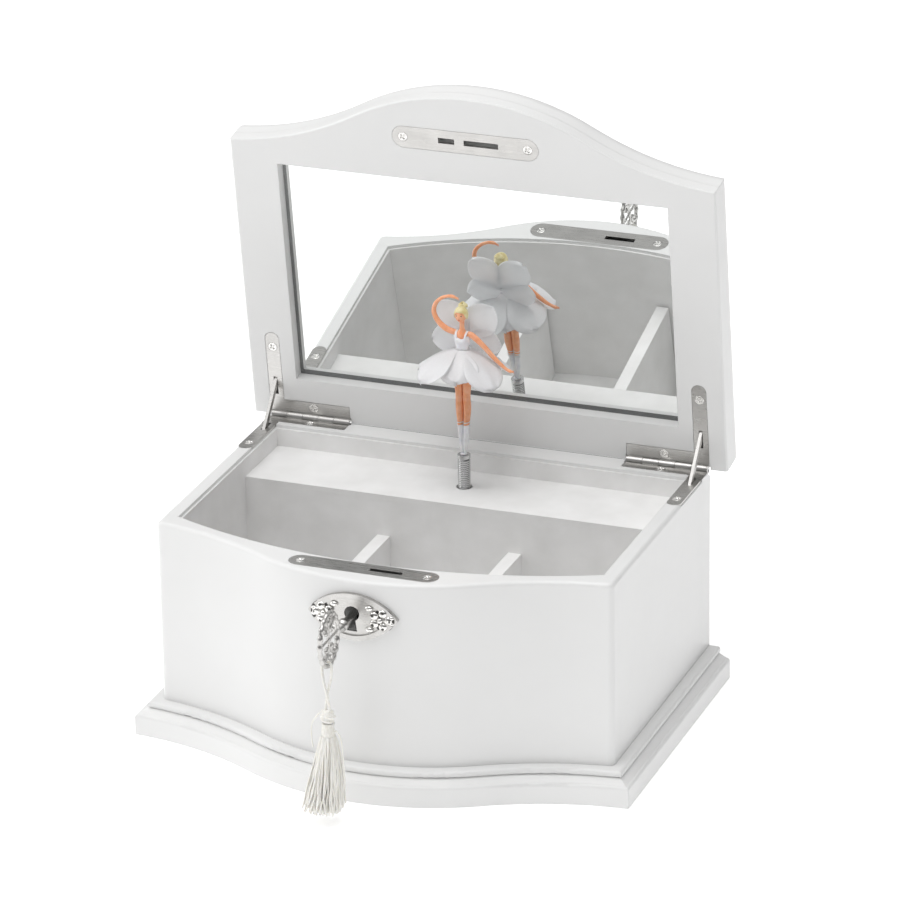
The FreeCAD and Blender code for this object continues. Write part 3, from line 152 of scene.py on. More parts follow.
class Shader:
    """Small builder for one node material."""

    def __init__(self, name):
        self.material = bpy.data.materials.new(name)
        self.material.use_nodes = True
        self.tree = self.material.node_tree
        self.surface = self.tree.nodes["Principled BSDF"]
        self.coords = None

    def link(self, source, target):
        """Join two sockets."""
        self.tree.links.new(source, target)

    def place(self, scale):
        """Object coordinates, stretched by a scale on each axis."""
        if self.coords is None:
            self.coords = self.tree.nodes.new("ShaderNodeTexCoord")
        mapping = self.tree.nodes.new("ShaderNodeMapping")
        mapping.inputs["Scale"].default_value = scale
        self.link(self.coords.outputs["Object"], mapping.inputs["Vector"])
        return mapping.outputs["Vector"]

    def noise(self, scale, detail=3.0, stretch=(1, 1, 1)):
        """Noise with a scale in features per metre."""
        texture = self.tree.nodes.new("ShaderNodeTexNoise")
        texture.inputs["Scale"].default_value = scale
        texture.inputs["Detail"].default_value = detail
        self.link(self.place(stretch), texture.inputs["Vector"])
        return texture.outputs["Fac"]

    def spread(self, value, low, high):
        """Spread a noise texture's usual range over low to high."""
        ranged = self.tree.nodes.new("ShaderNodeMapRange")
        ranged.inputs["From Min"].default_value = NOISE_LOW
        ranged.inputs["From Max"].default_value = NOISE_HIGH
        ranged.inputs["To Min"].default_value = low
        ranged.inputs["To Max"].default_value = high
        self.link(value, ranged.inputs["Value"])
        return ranged.outputs["Result"]

    def tint(self, value, dark, light):
        """Colour between two tones by a texture."""
        mix = self.tree.nodes.new("ShaderNodeMix")
        mix.data_type = "RGBA"
        mix.inputs[6].default_value = (*dark, 1)
        mix.inputs[7].default_value = (*light, 1)
        self.link(self.spread(value, 0.0, 1.0), mix.inputs[0])
        self.link(mix.outputs[2], self.surface.inputs["Base Color"])

    def bump(self, value, distance, strength=1.0, soften=0.0):
        """Relief in metres from a texture; soften rounds the edges' shading by a radius in metres."""
        bump = self.tree.nodes.new("ShaderNodeBump")
        bump.inputs["Strength"].default_value = strength
        bump.inputs["Distance"].default_value = distance
        self.link(value, bump.inputs["Height"])
        if soften:
            bevel = self.tree.nodes.new("ShaderNodeBevel")
            bevel.samples = 6
            bevel.inputs["Radius"].default_value = soften
            self.link(bevel.outputs["Normal"], bump.inputs["Normal"])
        self.link(bump.outputs["Normal"], self.surface.inputs["Normal"])

    def set(self, **values):
        """Constants on the surface's own sockets."""
        for key, value in values.items():
            self.surface.inputs[key.replace("_", " ")].default_value = value
        return self


def lacquer():
    """Sprayed satin lacquer: two near whites in broad clouds and a faint orange peel."""
    s = Shader("white lacquer")
    s.set(Coat_Weight=0.25, Coat_Roughness=0.25, Specular_IOR_Level=0.45)
    s.tint(s.noise(14, 4), (0.8, 0.8, 0.795), (0.835, 0.835, 0.83))
    s.link(s.spread(s.noise(220, 3), 0.32, 0.42), s.surface.inputs["Roughness"])
    s.bump(s.noise(900, 2), 0.00002, 0.5, 0.0005)
    return s.material


def velvet():
    """Short pale pile: patches of two greys, with a fine raised nap."""
    s = Shader("grey velvet")
    s.set(Roughness=0.95, Sheen_Weight=0.4, Sheen_Roughness=0.45, Specular_IOR_Level=0.1)
    s.tint(s.noise(60, 6), (0.845, 0.84, 0.83), (0.93, 0.925, 0.92))
    s.bump(s.noise(3200, 4), 0.00025, 0.8, 0.0003)
    return s.material


def metal(name, tone, rough, grain, stretch, depth=0.00001):
    """Plated or drawn metal with fine wear in its polish."""
    s = Shader(name)
    s.set(Metallic=1.0)
    dark = tuple(c * 0.93 for c in tone)
    light = tuple(min(1.0, c * 1.06) for c in tone)
    s.tint(s.noise(90, 3), dark, light)
    wear = s.spread(s.noise(grain, 3, stretch), rough * 0.8, rough * 1.25)
    s.link(wear, s.surface.inputs["Roughness"])
    s.bump(s.noise(grain, 3, stretch), depth, 0.6, 0.00012)
    return s.material


def looking_glass():
    """Silvered glass: a mirror with the faintest haze in clouds."""
    s = Shader("looking glass")
    s.set(Metallic=1.0, Base_Color=(0.9, 0.915, 0.91, 1))
    s.link(s.spread(s.noise(25, 2), 0.0, 0.012), s.surface.inputs["Roughness"])
    return s.material


def thread(name, dark, light, grain, stretch):
    """Lustrous spun thread: fine lengthwise streaks."""
    s = Shader(name)
    s.set(Roughness=0.5, Sheen_Weight=0.4, Sheen_Roughness=0.3, Subsurface_Weight=0.15)
    s.set(Subsurface_Radius=(0.0015, 0.0013, 0.001))
    s.tint(s.noise(grain, 4, stretch), dark, light)
    s.bump(s.noise(grain, 3, stretch), 0.00008, 0.7)
    return s.material


def plastic(name, dark, light, rough, soft=0.0):
    """Moulded and hand-painted plastic with slightly uneven paint."""
    s = Shader(name)
    s.set(Roughness=rough, Coat_Weight=0.15, Subsurface_Weight=soft)
    s.set(Subsurface_Radius=(0.002, 0.001, 0.0006))
    s.tint(s.noise(350, 4), dark, light)
    s.bump(s.noise(1600, 2), 0.00003, 0.6)
    return s.material


def sheer(name, tone, clear, grain):
    """Thin stiffened net or film: part of the light goes through, with a fine weave."""
    s = Shader(name)
    s.set(Roughness=0.45, Sheen_Weight=0.3, Coat_Weight=0.2)
    s.tint(s.noise(grain, 3), tuple(c * 0.95 for c in tone), tone)
    s.bump(s.noise(grain * 3, 2), 0.00004, 0.6)
    glow = s.tree.nodes.new("ShaderNodeBsdfTranslucent")
    glow.inputs["Color"].default_value = (*tone, 1)
    mix = s.tree.nodes.new("ShaderNodeMixShader")
    mix.inputs[0].default_value = clear
    out = s.tree.nodes["Material Output"]
    s.link(s.surface.outputs[0], mix.inputs[1])
    s.link(glow.outputs[0], mix.inputs[2])
    s.link(mix.outputs[0], out.inputs["Surface"])
    return s.material


def board():
    """Grey pulp board with a fibrous surface."""
    s = Shader("pulp board")
    s.set(Roughness=0.9)
    s.tint(s.noise(400, 6), (0.38, 0.34, 0.28), (0.5, 0.46, 0.4))
    s.bump(s.noise(1500, 4), 0.0001, 0.7)
    return s.material


MATERIALS = {
    "white_lacquer": lacquer(),
    "lining": velvet(),
    # The plate nickel's tone is darkened to stand in for dark surroundings in its reflections: painted
    # shade.
    "nickel": metal("shaded nickel plate", (0.57, 0.56, 0.545), 0.3, 2600, (0.03, 1, 1), 0.000004),
    "steel": metal("drawn steel", (0.6, 0.6, 0.6), 0.2, 2200, (1, 1, 0.05), 0.000004),
    "movement_brass": metal("brass", (0.78, 0.6, 0.3), 0.3, 600, (1, 6, 6)),
    "cast_bed": metal("cast bed", (0.36, 0.36, 0.37), 0.5, 900, (1, 1, 1), 0.00004),
    "looking_glass": looking_glass(),
    "backing_board": board(),
    "ivory_cord": thread("ivory cord", (0.8, 0.78, 0.72), (0.93, 0.92, 0.88), 1400, (1, 1, 0.5)),
    "ivory_fringe": thread("ivory fringe", (0.86, 0.84, 0.78), (0.95, 0.94, 0.905), 1500, (1, 1, 0.06)),
    "doll_plastic": plastic("painted skin", (0.9, 0.36, 0.17), (0.98, 0.5, 0.3), 0.3, 0.25),
    "doll_bodice": plastic("pearl paint", (0.8, 0.8, 0.84), (0.94, 0.94, 0.95), 0.28, 0.1),
    "doll_hair": plastic("blonde paint", (0.72, 0.6, 0.26), (0.93, 0.88, 0.58), 0.35),
    "tulle": sheer("stiff net", (0.97, 0.97, 0.98), 0.35, 1200),
    "wing_film": sheer("petal film", (0.97, 0.975, 0.985), 0.5, 300),
}
# Dark grey thread material that paints the shadow in the hinge line's crack.
HINGE_GAP_SHADE = thread("painted hinge gap shade", (0.2, 0.2, 0.2), (0.3, 0.3, 0.3), 2500, (1, 1, 1))
EYE = plastic("eye paint", (0.08, 0.05, 0.04), (0.16, 0.1, 0.08), 0.3)
LIPS = plastic("lip paint", (0.62, 0.12, 0.12), (0.72, 0.2, 0.18), 0.35)
# Smoother nickel for the screws and the escutcheon's flowers; its tone, lighter than the plate's, is a
# painted highlight that sets them off.
NICKEL_HIGHLIGHT = metal("polished nickel with painted highlight", (0.83, 0.82, 0.8), 0.16, 700, (1, 1, 1), 0.000006)
# Dark metal that paints the shade in the escutcheon's openwork and in its petal hollows.
OPENWORK_SHADE = metal("painted openwork shade", (0.1, 0.098, 0.092), 0.55, 1200, (1, 1, 1), 0.00003)
# Dark grey metal that paints the shadow of the mirror's recess round the glass's edge.
MIRROR_EDGE_SHADE = metal("painted mirror edge shade", (0.2, 0.205, 0.205), 0.45, 1500, (1, 1, 1), 0.00001)

SLOT_OF = {part["node"]: part["material_slot"] for part in frame["record"]["subparts"]}
for node, thing in frame["nodes"].items():
    thing.data.materials.clear()
    thing.data.materials.append(MATERIALS[SLOT_OF[node]])


# --- Surface helpers (millimetres in, metres out) ---------------------------

def quads(rows, columns, wrap_rows=False, wrap_columns=False):
    """Faces of a grid of points, with either direction closed on itself."""
    i = np.arange(rows if wrap_rows else rows - 1)
    j = np.arange(columns if wrap_columns else columns - 1)
    a, b = np.meshgrid(i, j, indexing="ij")
    c = (a + 1) % rows
    d = (b + 1) % columns
    corners = [a * columns + b, a * columns + d, c * columns + d, c * columns + b]
    return np.stack(corners, -1).reshape(-1, 4)


def patch(points, wrap_rows=False, wrap_columns=False, caps=False):
    """(vertices, faces) of a grid; caps close the first and last rows."""
    rows, columns = points.shape[:2]
    faces = quads(rows, columns, wrap_rows, wrap_columns).tolist()
    if caps:
        faces.append(list(range(columns))[::-1])
        faces.append(list(range((rows - 1) * columns, rows * columns)))
    return points.reshape(-1, 3), faces


def merged(parts):
    """Several (vertices, faces) parts as one, each part's faces counted on from the last."""
    vertices = np.concatenate([p[0] for p in parts])
    faces = []
    start = 0
    for points, own in parts:
        faces += [[k + start for k in face] for face in own]
        start += len(points)
    return vertices, faces


def add(name, part, slot, body, material=None, replaces=(), smooth=True):
    """New object from one part, riding on a body."""
    vertices, faces = part
    mesh = bpy.data.meshes.new(name)
    mesh.from_pydata((vertices * MM).tolist(), [], faces)
    mesh.validate()
    mesh.polygons.foreach_set("use_smooth", [smooth] * len(mesh.polygons))
    mesh.materials.append(material or MATERIALS[slot])
    thing = bpy.data.objects.new(name, mesh)
    bpy.context.scene.collection.objects.link(thing)
    if body:
        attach(thing, body)
    if replaces:
        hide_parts(*replaces)
    return thing


def curve_through(points, count):
    """Smooth path through some points: a Catmull-Rom spline sampled evenly."""
    p = np.asarray(points, float)
    padded = np.concatenate([2 * p[:1] - p[1:2], p, 2 * p[-1:] - p[-2:-1]])
    t = np.linspace(0, len(p) - 1 - 1e-9, count)
    k = t.astype(int)
    f = (t - k)[:, None]
    a, b, c, d = (padded[k + n] for n in range(4))
    square = (2 * a - 5 * b + 4 * c - d) * f ** 2
    cube = (3 * b - a - 3 * c + d) * f ** 3
    return 0.5 * (2 * b + (c - a) * f + square + cube)


def tube(path, radius, sides=12, flat=(1.0, 1.0), lead=(0, 1, 0), closed=False):
    """Circle of varying radius swept along a path; flat squeezes the circle's two axes."""
    path = np.asarray(path, float)
    count = len(path)
    radius = np.broadcast_to(np.asarray(radius, float), (count,))
    if closed:
        along = np.roll(path, -1, 0) - np.roll(path, 1, 0)
    else:
        along = np.gradient(path, axis=0)
    along /= np.linalg.norm(along, axis=1)[:, None]
    lead = np.broadcast_to(np.asarray(lead, float), along.shape)
    first = lead - (lead * along).sum(1)[:, None] * along
    first /= np.linalg.norm(first, axis=1)[:, None]
    second = np.cross(along, first)
    angle = np.linspace(0, 2 * np.pi, sides, endpoint=False)
    ring = (np.cos(angle)[None, :, None] * first[:, None] * flat[0]
            + np.sin(angle)[None, :, None] * second[:, None] * flat[1])
    points = path[:, None] + radius[:, None, None] * ring
    return patch(points, closed, True, not closed)


def lathe(profile, centre, sides=32, flat=(1.0, 1.0)):
    """Profile of (radius, height) turned about an upright axis, closed at both ends."""
    profile = np.asarray(profile, float)
    angle = np.linspace(0, 2 * np.pi, sides, endpoint=False)
    x = centre[0] + profile[:, :1] * np.cos(angle) * flat[0]
    y = centre[1] + profile[:, :1] * np.sin(angle) * flat[1]
    z = np.broadcast_to(profile[:, 1:], x.shape) + centre[2]
    return patch(np.stack([x, y, z], -1), False, True, True)


def ball(centre, radii, rows=12, sides=16):
    """Ellipsoid: half circle of heights turned round, scaled on each axis."""
    a = np.linspace(-POLE, POLE, rows)[:, None]
    b = np.linspace(0, 2 * np.pi, sides, endpoint=False)[None, :]
    points = np.stack([np.cos(a) * np.cos(b), np.cos(a) * np.sin(b), np.sin(a) + 0 * b], -1)
    return patch(points * np.asarray(radii) + np.asarray(centre), False, True, True)


def smooth_radii(values, count):
    """Evenly spaced radii stretched over a path by straight interpolation."""
    return np.interp(np.linspace(0, 1, count), np.linspace(0, 1, len(values)), values)


# --- Cord and tassel --------------------------------------------------------

# The cord's route, measured across from the lock's middle and the tassel's axis.
CORD = [(0.9, 0.0, 52.6), (0.7, -0.8, 58.6), (-1.0, -0.65, 64.4), (-2.2, 0.0, 70.2),
        (-2.2, 0.0, 75.2), (2.2, 0.0, 75.2), (2.2, 0.0, 70.2), (1.0, 0.65, 64.4),
        (-0.7, 0.8, 58.6), (-0.9, 0.0, 52.6)]


def hanging_cord():
    """Doubled cord from the knot, over the key's lowest bar and back."""
    data = bpy.data.curves.new("tassel_loop", "CURVE")
    data.dimensions = "3D"
    data.bevel_depth = CORD_R * MM
    data.bevel_resolution = 5
    data.resolution_u = 16
    data.use_fill_caps = True
    spline = data.splines.new("NURBS")
    spline.points.add(len(CORD) - 1)
    for point, (x, y, z) in zip(spline.points, CORD):
        point.co = ((LOCK_X + x) * MM, (TASSEL_Y + y) * MM, z * MM, 1)
    spline.order_u = 3
    spline.use_endpoint_u = True
    data.materials.append(MATERIALS["ivory_cord"])
    cord = bpy.data.objects.new("tassel_loop", data)
    bpy.context.scene.collection.objects.link(cord)
    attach(cord, "tassel")
    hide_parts("tassel_cord")
    return cord


def tassel_knot():
    """Knot and wound band: a turned profile whose radius ripples along a helix."""
    centre = np.array([LOCK_X, TASSEL_Y, 0.0])
    z = np.linspace(KNOT_TOP, BAND_FOOT, 90)
    knot = 3.1 * np.sqrt(np.clip(1 - ((z - KNOT_MID) / 3.45) ** 2, 0.02, 1))
    band = 2.75 + 0.15 * np.sin((z - BAND_FOOT) * 0.9)
    base = np.where(z > KNOT_FOOT, knot, band)
    angle = np.linspace(0, 2 * np.pi, 48, endpoint=False)
    a, h = np.meshgrid(angle, z)
    coils = 0.32 * np.cos(2 * a + 2.2 * (h - KNOT_FOOT))
    windings = 0.07 * np.cos(a + 9.0 * h)
    ripple = np.where(h > KNOT_FOOT, coils, windings)
    r = np.clip(base[:, None] + ripple, 0.3, None)
    points = np.stack([centre[0] + r * np.cos(a), centre[1] + r * np.sin(a), h], -1)[::-1]
    return patch(points, False, True, True)


def fringe():
    """Threads hang from the band and spread in soft clumps. Each is a thin tube: its distance from
    the axis grows with a power of the way down, and it swings a little round the axis."""
    rng = np.random.default_rng(7)
    parts = []
    golden = math.pi * (3 - math.sqrt(5))
    t = np.linspace(0, 1, 15)
    for k in range(THREADS):
        share = math.sqrt((k + 0.5) / THREADS)
        angle = k * golden + 0.35 * math.sin(5 * k * golden)
        swing = rng.normal(0, 0.22)
        top = 2.7 * share
        foot = 8.9 * share ** 0.9 * (0.9 + 0.16 * rng.random())
        foot = min(foot, 9.5)
        low = THREAD_FOOT + 3.4 * rng.random() ** 2
        belly = t ** 0.75
        r = top + (foot - top) * belly + 0.25 * np.sin(t * 7 + k)
        a = angle + swing * t + 0.10 * np.sin(t * 9 + 2.3 * k) * t
        x = LOCK_X + r * np.cos(a) - FRINGE_LEAN * t ** 1.5
        z = THREAD_TOP + (low - THREAD_TOP) * t
        path = np.stack([x, TASSEL_Y + r * np.sin(a), z], -1)
        parts.append(tube(path, 0.36 + 0.1 * rng.random(), 5, lead=(0.3, 1, 0)))
    return merged(parts)


def loose_threads():
    """Two single threads bow out beside the tassel, each a thin tube along a smooth path."""
    left = [(-2.0, 0, 52.6), (-4.3, -1.0, 50.2), (-6.6, -1.4, 46.4), (-7.2, -1.2, 41),
            (-6.8, -1.0, 35)]
    right = [(2.2, 0, 43.6), (4.6, -0.8, 43.2), (6.4, -1.2, 39.4), (7.0, -1.4, 33),
             (7.4, -1.2, 25), (7.5, -1, 16)]
    parts = []
    for row in (left, right):
        path = curve_through(np.array(row) + np.array([LOCK_X, TASSEL_Y, 0]), 40)
        parts.append(tube(path, 0.34, 7))
    return merged(parts)


cord = hanging_cord()
knot = add("tassel_knot", tassel_knot(), "ivory_cord", "tassel", replaces=("tassel_head",))
threads = add("tassel_fringe", fringe(), "ivory_fringe", "tassel", replaces=("tassel_skirt",))
strays = add("tassel_stray_threads", loose_threads(), "ivory_fringe", "tassel")


# --- Key --------------------------------------------------------------------

def key_bow():
    """Cast filigree in one upright plane: an oval rim whose radius swells and shrinks as beads,
    and four scrolls whose radius shrinks as they turn."""
    t = np.linspace(0, 2 * np.pi, 160, endpoint=False)
    rim_y = BOW_Y + BOW_HALF_L * np.cos(t)
    rim = np.stack([0 * t + LOCK_X, rim_y, KEY_Z + BOW_HALF_H * np.sin(t)], -1)
    beads = 1.12 + 0.2 * np.cos(18 * t)
    near_loop = np.exp(-((t - 1.4 * np.pi) / 0.35) ** 2)
    rim_r = beads * (1 - near_loop) + 1.1 * near_loop
    parts = [tube(rim, rim_r, 12, lead=(1, 0, 0), closed=True)]
    s = np.linspace(0, 1, 60)
    for up in (-1, 1):
        for out in (-1, 1):
            turn = 1.65 * np.pi * s
            size = 3.4 * (1 - 0.72 * s)
            y = BOW_Y + out * (4.4 + size * np.cos(turn) - 1.4 * s)
            z = KEY_Z + up * (4.6 + size * np.sin(turn + 0.4))
            path = np.stack([0 * s + LOCK_X, y, z], -1)
            parts.append(tube(path, 0.95 - 0.25 * s, 10, lead=(1, 0, 0)))
            parts.append(ball(path[-1], (1.05, 1.15, 1.15), 8, 12))
    for z in (-7.8, 0.0, 7.8):
        parts.append(ball((LOCK_X, BOW_Y, KEY_Z + z), (0.95, 1.5, 1.5), 10, 14))
    spine_y = BOW_Y + (s * 2 - 1) * (BOW_HALF_L - 0.3)
    spine = np.stack([0 * s + LOCK_X, spine_y, 0 * s + KEY_Z], -1)
    parts.append(tube(spine, 0.6 + 0.12 * np.cos(s * 40), 8, lead=(1, 0, 0)))
    stem = np.stack([0 * s + LOCK_X, 0 * s + BOW_Y, KEY_Z + (s * 2 - 1) * 9.9], -1)
    stem = stem[s > 0.13]
    parts.append(tube(stem, 0.6, 8, lead=(1, 0, 0)))
    return merged(parts)


def key_shank():
    """Turned collar and shank with a small bit, the profile given along the shank."""
    profile = [(-115.8, 1.1), (-115.0, 1.5), (-114.0, 1.6), (-113.2, 2.1), (-112.4, 2.3),
               (-111.4, 1.9), (-110.7, 1.7), (-110.4, 2.5), (-107.6, 2.5), (-107.4, 1.65),
               (-96.0, 1.6), (-85.8, 1.6), (-85.4, 1.3)]
    y = np.array([p[0] for p in profile])
    path = np.stack([0 * y + LOCK_X, y, 0 * y + KEY_Z], -1)
    shank = tube(path, [p[1] for p in profile], 28, lead=(0, 0, 1))
    x = np.array([-0.8, 0.8])
    corner = [(-87.0, 78.7), (-85.5, 78.7), (-85.5, 83.5), (-87.0, 83.5)]
    bit = np.array([[(LOCK_X + a, b, c) for b, c in corner] for a in x])
    return merged([shank, patch(bit, False, True, True)])


add("key_bow", key_bow(), "nickel", "lock_key", replaces=("key",))
add("key_shank", key_shank(), "nickel", "lock_key")


# --- Escutcheon -------------------------------------------------------------

def on_crest(x, lift):
    """The front's y at x: a circular arc, its radius grown by the lift."""
    return CREST_CENTRE_Y - math.sqrt((CREST_R + lift) ** 2 - x ** 2)


def on_plate(x, z, lift, radii, rows=10, sides=16):
    """Ellipsoid set on the curved front at (x, z), its middle lifted off the wood."""
    return ball((x, on_crest(x, lift), z), radii, rows, sides)


def petal_angle(k, side):
    """Heading of a flower's petal, evenly spaced, with one petal towards the plate's tip."""
    return 2 * math.pi * k / FLOWER_PETALS + (0.0 if side > 0 else math.pi)


def flower_relief():
    """A cast flower near each tip: five domed petals round a bead, with two leaves on each side."""
    parts = []
    for side in (-1, 1):
        fx = LOCK_X + side * FLOWER_OUT
        for k in range(FLOWER_PETALS):
            a = petal_angle(k, side)
            x = fx + 3.3 * math.cos(a)
            z = PLATE_Z + 3.1 * math.sin(a)
            parts.append(on_plate(x, z, 1.9, (2.0, 1.1, 1.9)))
        parts.append(on_plate(fx, PLATE_Z, 2.3, (1.25, 1.2, 1.25)))
        for rise in (-1, 1):
            inner_x = LOCK_X + side * 8.0
            outer_x = LOCK_X + side * 17.6
            parts.append(on_plate(inner_x, PLATE_Z + rise * 4.9, 1.7, (1.9, 0.9, 1.2)))
            parts.append(on_plate(outer_x, PLATE_Z + rise * 1.3, 1.7, (1.5, 0.95, 0.95)))
    return merged(parts)


def openwork_shade_ground():
    """Painted shade: a dark ground under each flower, standing in for the shaded gaps of the openwork,
    and a dark dimple of painted shade on each petal: flat ellipsoids.
    """
    parts = []
    for side in (-1, 1):
        fx = LOCK_X + side * FLOWER_OUT
        parts.append(on_plate(fx, PLATE_Z, 1.1, (6.2, 0.5, 5.6), 16, 32))
        for k in range(FLOWER_PETALS):
            a = petal_angle(k, side)
            x = fx + 3.9 * math.cos(a)
            z = PLATE_Z + 3.7 * math.sin(a)
            parts.append(on_plate(x, z, 2.85, (0.75, 0.16, 0.75), 8, 12))
    return merged(parts)


# The flowers' lighter nickel is a painted highlight.
add("escutcheon_flowers", flower_relief(), "nickel", "case", NICKEL_HIGHLIGHT)
# Painted shade in the openwork round each flower and on each petal.
add("escutcheon_painted_shade", openwork_shade_ground(), "nickel", "case", OPENWORK_SHADE)


# --- Dancer -----------------------------------------------------------------

def doll(points):
    """Points moved from the dancer's own axis to her place on the platform."""
    return np.asarray(points, float) + np.array([0, DANCER_Y, 0])


def legs():
    """Two legs side by side; radius and offset vary from ankle through calf and knee to thigh."""
    parts = []
    for side in (-1, 1):
        row = [(side * 1.35, 0, 117.5), (side * 1.5, 0.1, 121), (side * 1.8, 0.35, 127),
               (side * 1.75, -0.1, 134), (side * 2.05, 0, 141), (side * 2.25, 0, 149)]
        path = curve_through(doll(row), 36)
        parts.append(tube(path, smooth_radii([1.2, 1.4, 1.78, 1.7, 2.15, 2.5], 36), 20))
    return merged(parts)


def shoes():
    """Pointed satin shoes, narrowing to a flat toe, with a ribbon wound as a helix at each ankle,
    and a small turned stand under them."""
    parts = []
    for side in (-1, 1):
        row = [(side * 0.62, -0.1, 105.9), (side * 0.75, 0, 108.5), (side * 1.05, 0.1, 112.5),
               (side * 1.3, 0, 117), (side * 1.42, 0, 119.3)]
        path = curve_through(doll(row), 30)
        parts.append(tube(path, smooth_radii([0.6, 0.95, 1.3, 1.32, 1.45], 30), 18))
        s = np.linspace(0, 1, 60)
        a = s * 5 * np.pi
        x = side * 1.42 + 1.5 * np.cos(a)
        helix = np.stack([x, DANCER_Y + 1.5 * np.sin(a), 118.2 + 3.6 * s], -1)
        parts.append(tube(helix, 0.22, 6, lead=(0, 0, 1)))
    stand = [(0.3, 105.2), (1.5, 105.25), (1.6, 105.6), (1.0, 106.0), (0.3, 106.1)]
    parts.append(lathe(stand, (0, DANCER_Y, 0), 20))
    return merged(parts)


def bodice():
    """Fitted top: oval sections from hips to bust, a dipped neckline and two straps."""
    profile = [(3.6, 149.5), (3.9, 151.0), (3.0, 153.4), (2.75, 155.0), (3.1, 157.4),
               (3.7, 159.8), (3.75, 161.0), (3.3, 162.0)]
    rows = curve_through([(r, 0, z) for r, z in profile], 30)
    angle = np.linspace(0, 2 * np.pi, 40, endpoint=False)
    a, r = np.meshgrid(angle, rows[:, 0])
    z = np.broadcast_to(rows[:, 2:3], a.shape).copy()
    rise = np.clip((z - 158) / 4, 0, 1)
    z -= rise * 1.5 * np.exp(-((a - 1.5 * np.pi) / 0.5) ** 2)
    sides = np.exp(-((a - 4.3) / 0.35) ** 2) + np.exp(-((a - 5.12) / 0.35) ** 2)
    bust = 0.55 * np.exp(-((z - 160) / 1.5) ** 2) * sides
    r = r + bust
    points = np.stack([r * np.cos(a), DANCER_Y + r * 0.78 * np.sin(a), z], -1)
    parts = [patch(points, False, True, True)]
    for side in (-1, 1):
        row = [(side * 2.0, -2.5, 161.0), (side * 2.3, -1.9, 162.9), (side * 2.4, 0, 163.9),
               (side * 2.3, 1.8, 162.6), (side * 2.0, 2.4, 161.2)]
        strap = curve_through(doll(row), 24)
        parts.append(tube(strap, 0.38, 8, (1.4, 0.6), lead=(1, 0, 0)))
    return merged(parts)


def arms_and_chest():
    """Shoulders and neck as a flattened turned profile, and two arms of varying radius along
    smooth paths, each with three short fingers."""
    profile = [(0.6, 160.4), (3.0, 160.6), (3.15, 161.8), (2.5, 163.3), (1.5, 164.3),
               (1.15, 165.4), (1.1, 167.2), (1.15, 169.0), (0.5, 169.3)]
    chest = lathe(profile, (0, DANCER_Y, 0), 28, (1.0, 0.76))
    raised = [(-2.6, 0, 162.9), (-4.4, -0.1, 163.2), (-7.6, -0.3, 164.4), (-11.2, -0.2, 167.4),
              (-13.1, 0, 171.2), (-12.3, -0.3, 175.2), (-9.6, -0.6, 178.2), (-6.2, -0.9, 179.8),
              (-3.6, -1.0, 179.9), (-1.6, -1.0, 179.2)]
    lowered = [(2.6, 0, 162.9), (4.4, -0.1, 162.4), (7.4, -0.3, 160.4), (11.2, -0.4, 157.0),
               (15.0, -0.5, 153.2), (18.4, -0.6, 150.3), (20.6, -0.8, 148.8), (22.6, -0.9, 147.9),
               (24.0, -1.0, 147.8)]
    radii = [1.1, 1.4, 1.35, 1.2, 1.1, 0.98, 0.78, 0.7, 0.8, 0.3]
    parts = [chest]
    for row in (raised, lowered):
        parts.append(tube(curve_through(doll(row), 60), smooth_radii(radii, 60), 14))
        tip = doll(row)[-1]
        back = doll(row)[-2]
        step = tip - back
        for spread in (-0.32, 0.0, 0.32):
            knuckle = back + step * 0.7 + (0, 0.1, spread)
            nail = back + step * 1.35 + (0, 0.1, spread * 1.5)
            finger = np.array([back, knuckle, nail])
            parts.append(tube(curve_through(finger, 12), smooth_radii([0.24, 0.2, 0.1], 12), 7))
    return merged(parts)


def head():
    """Egg-shaped head: an ellipsoid that narrows to the chin, with a small nose."""
    rows, sides = 26, 36
    a = np.linspace(-POLE, POLE, rows)[:, None]
    b = np.linspace(0, 2 * np.pi, sides, endpoint=False)[None, :]
    narrow = 1 - 0.2 * np.clip(-np.sin(a), 0, 1) ** 1.5
    x = 2.75 * np.cos(a) * np.cos(b) * narrow
    y = 3.0 * np.cos(a) * np.sin(b) * narrow
    z = 3.5 * np.sin(a) + 0 * b
    nose = 0.5 * np.exp(-(x / 0.45) ** 2 - ((z + 0.35) / 0.7) ** 2) * (y < 0)
    brow = 0.15 * np.exp(-((z - 0.9) / 0.5) ** 2) * (y < 0)
    eyes = 0.22 * (np.exp(-((x - 1.05) / 0.5) ** 2) + np.exp(-((x + 1.05) / 0.5) ** 2))
    eyes = eyes * np.exp(-((z - 0.35) / 0.4) ** 2) * (y < 0)
    y = y - nose - brow + eyes
    points = np.stack([x + HEAD_X, y + DANCER_Y - 0.2, z + HEAD_Z], -1)
    return patch(points, False, True, True)


def eyes_and_brows():
    """Two small flattened ellipsoids, each under a thin arched tube."""
    parts = []
    for side in (-1, 1):
        x = HEAD_X + side * 1.05
        parts.append(ball((x, DANCER_Y - 2.85, HEAD_Z + 0.35), (0.42, 0.2, 0.2), 8, 12))
        s = np.linspace(-1, 1, 12)
        brow_y = DANCER_Y - 2.95 + 0.2 * s ** 2
        brow_z = HEAD_Z + 1.15 - 0.16 * s ** 2
        brow = np.stack([x + side * 0.1 + 0.6 * s, brow_y, brow_z], -1)
        parts.append(tube(brow, 0.07, 6, lead=(0, 0, 1)))
    return merged(parts)


def mouth():
    """Two lips as small flattened ellipsoids."""
    y = DANCER_Y - 2.82
    upper = ball((HEAD_X, y, HEAD_Z - 1.42), (0.52, 0.2, 0.12), 8, 12)
    lower = ball((HEAD_X, y + 0.05, HEAD_Z - 1.65), (0.42, 0.2, 0.14), 8, 12)
    return merged([upper, lower])


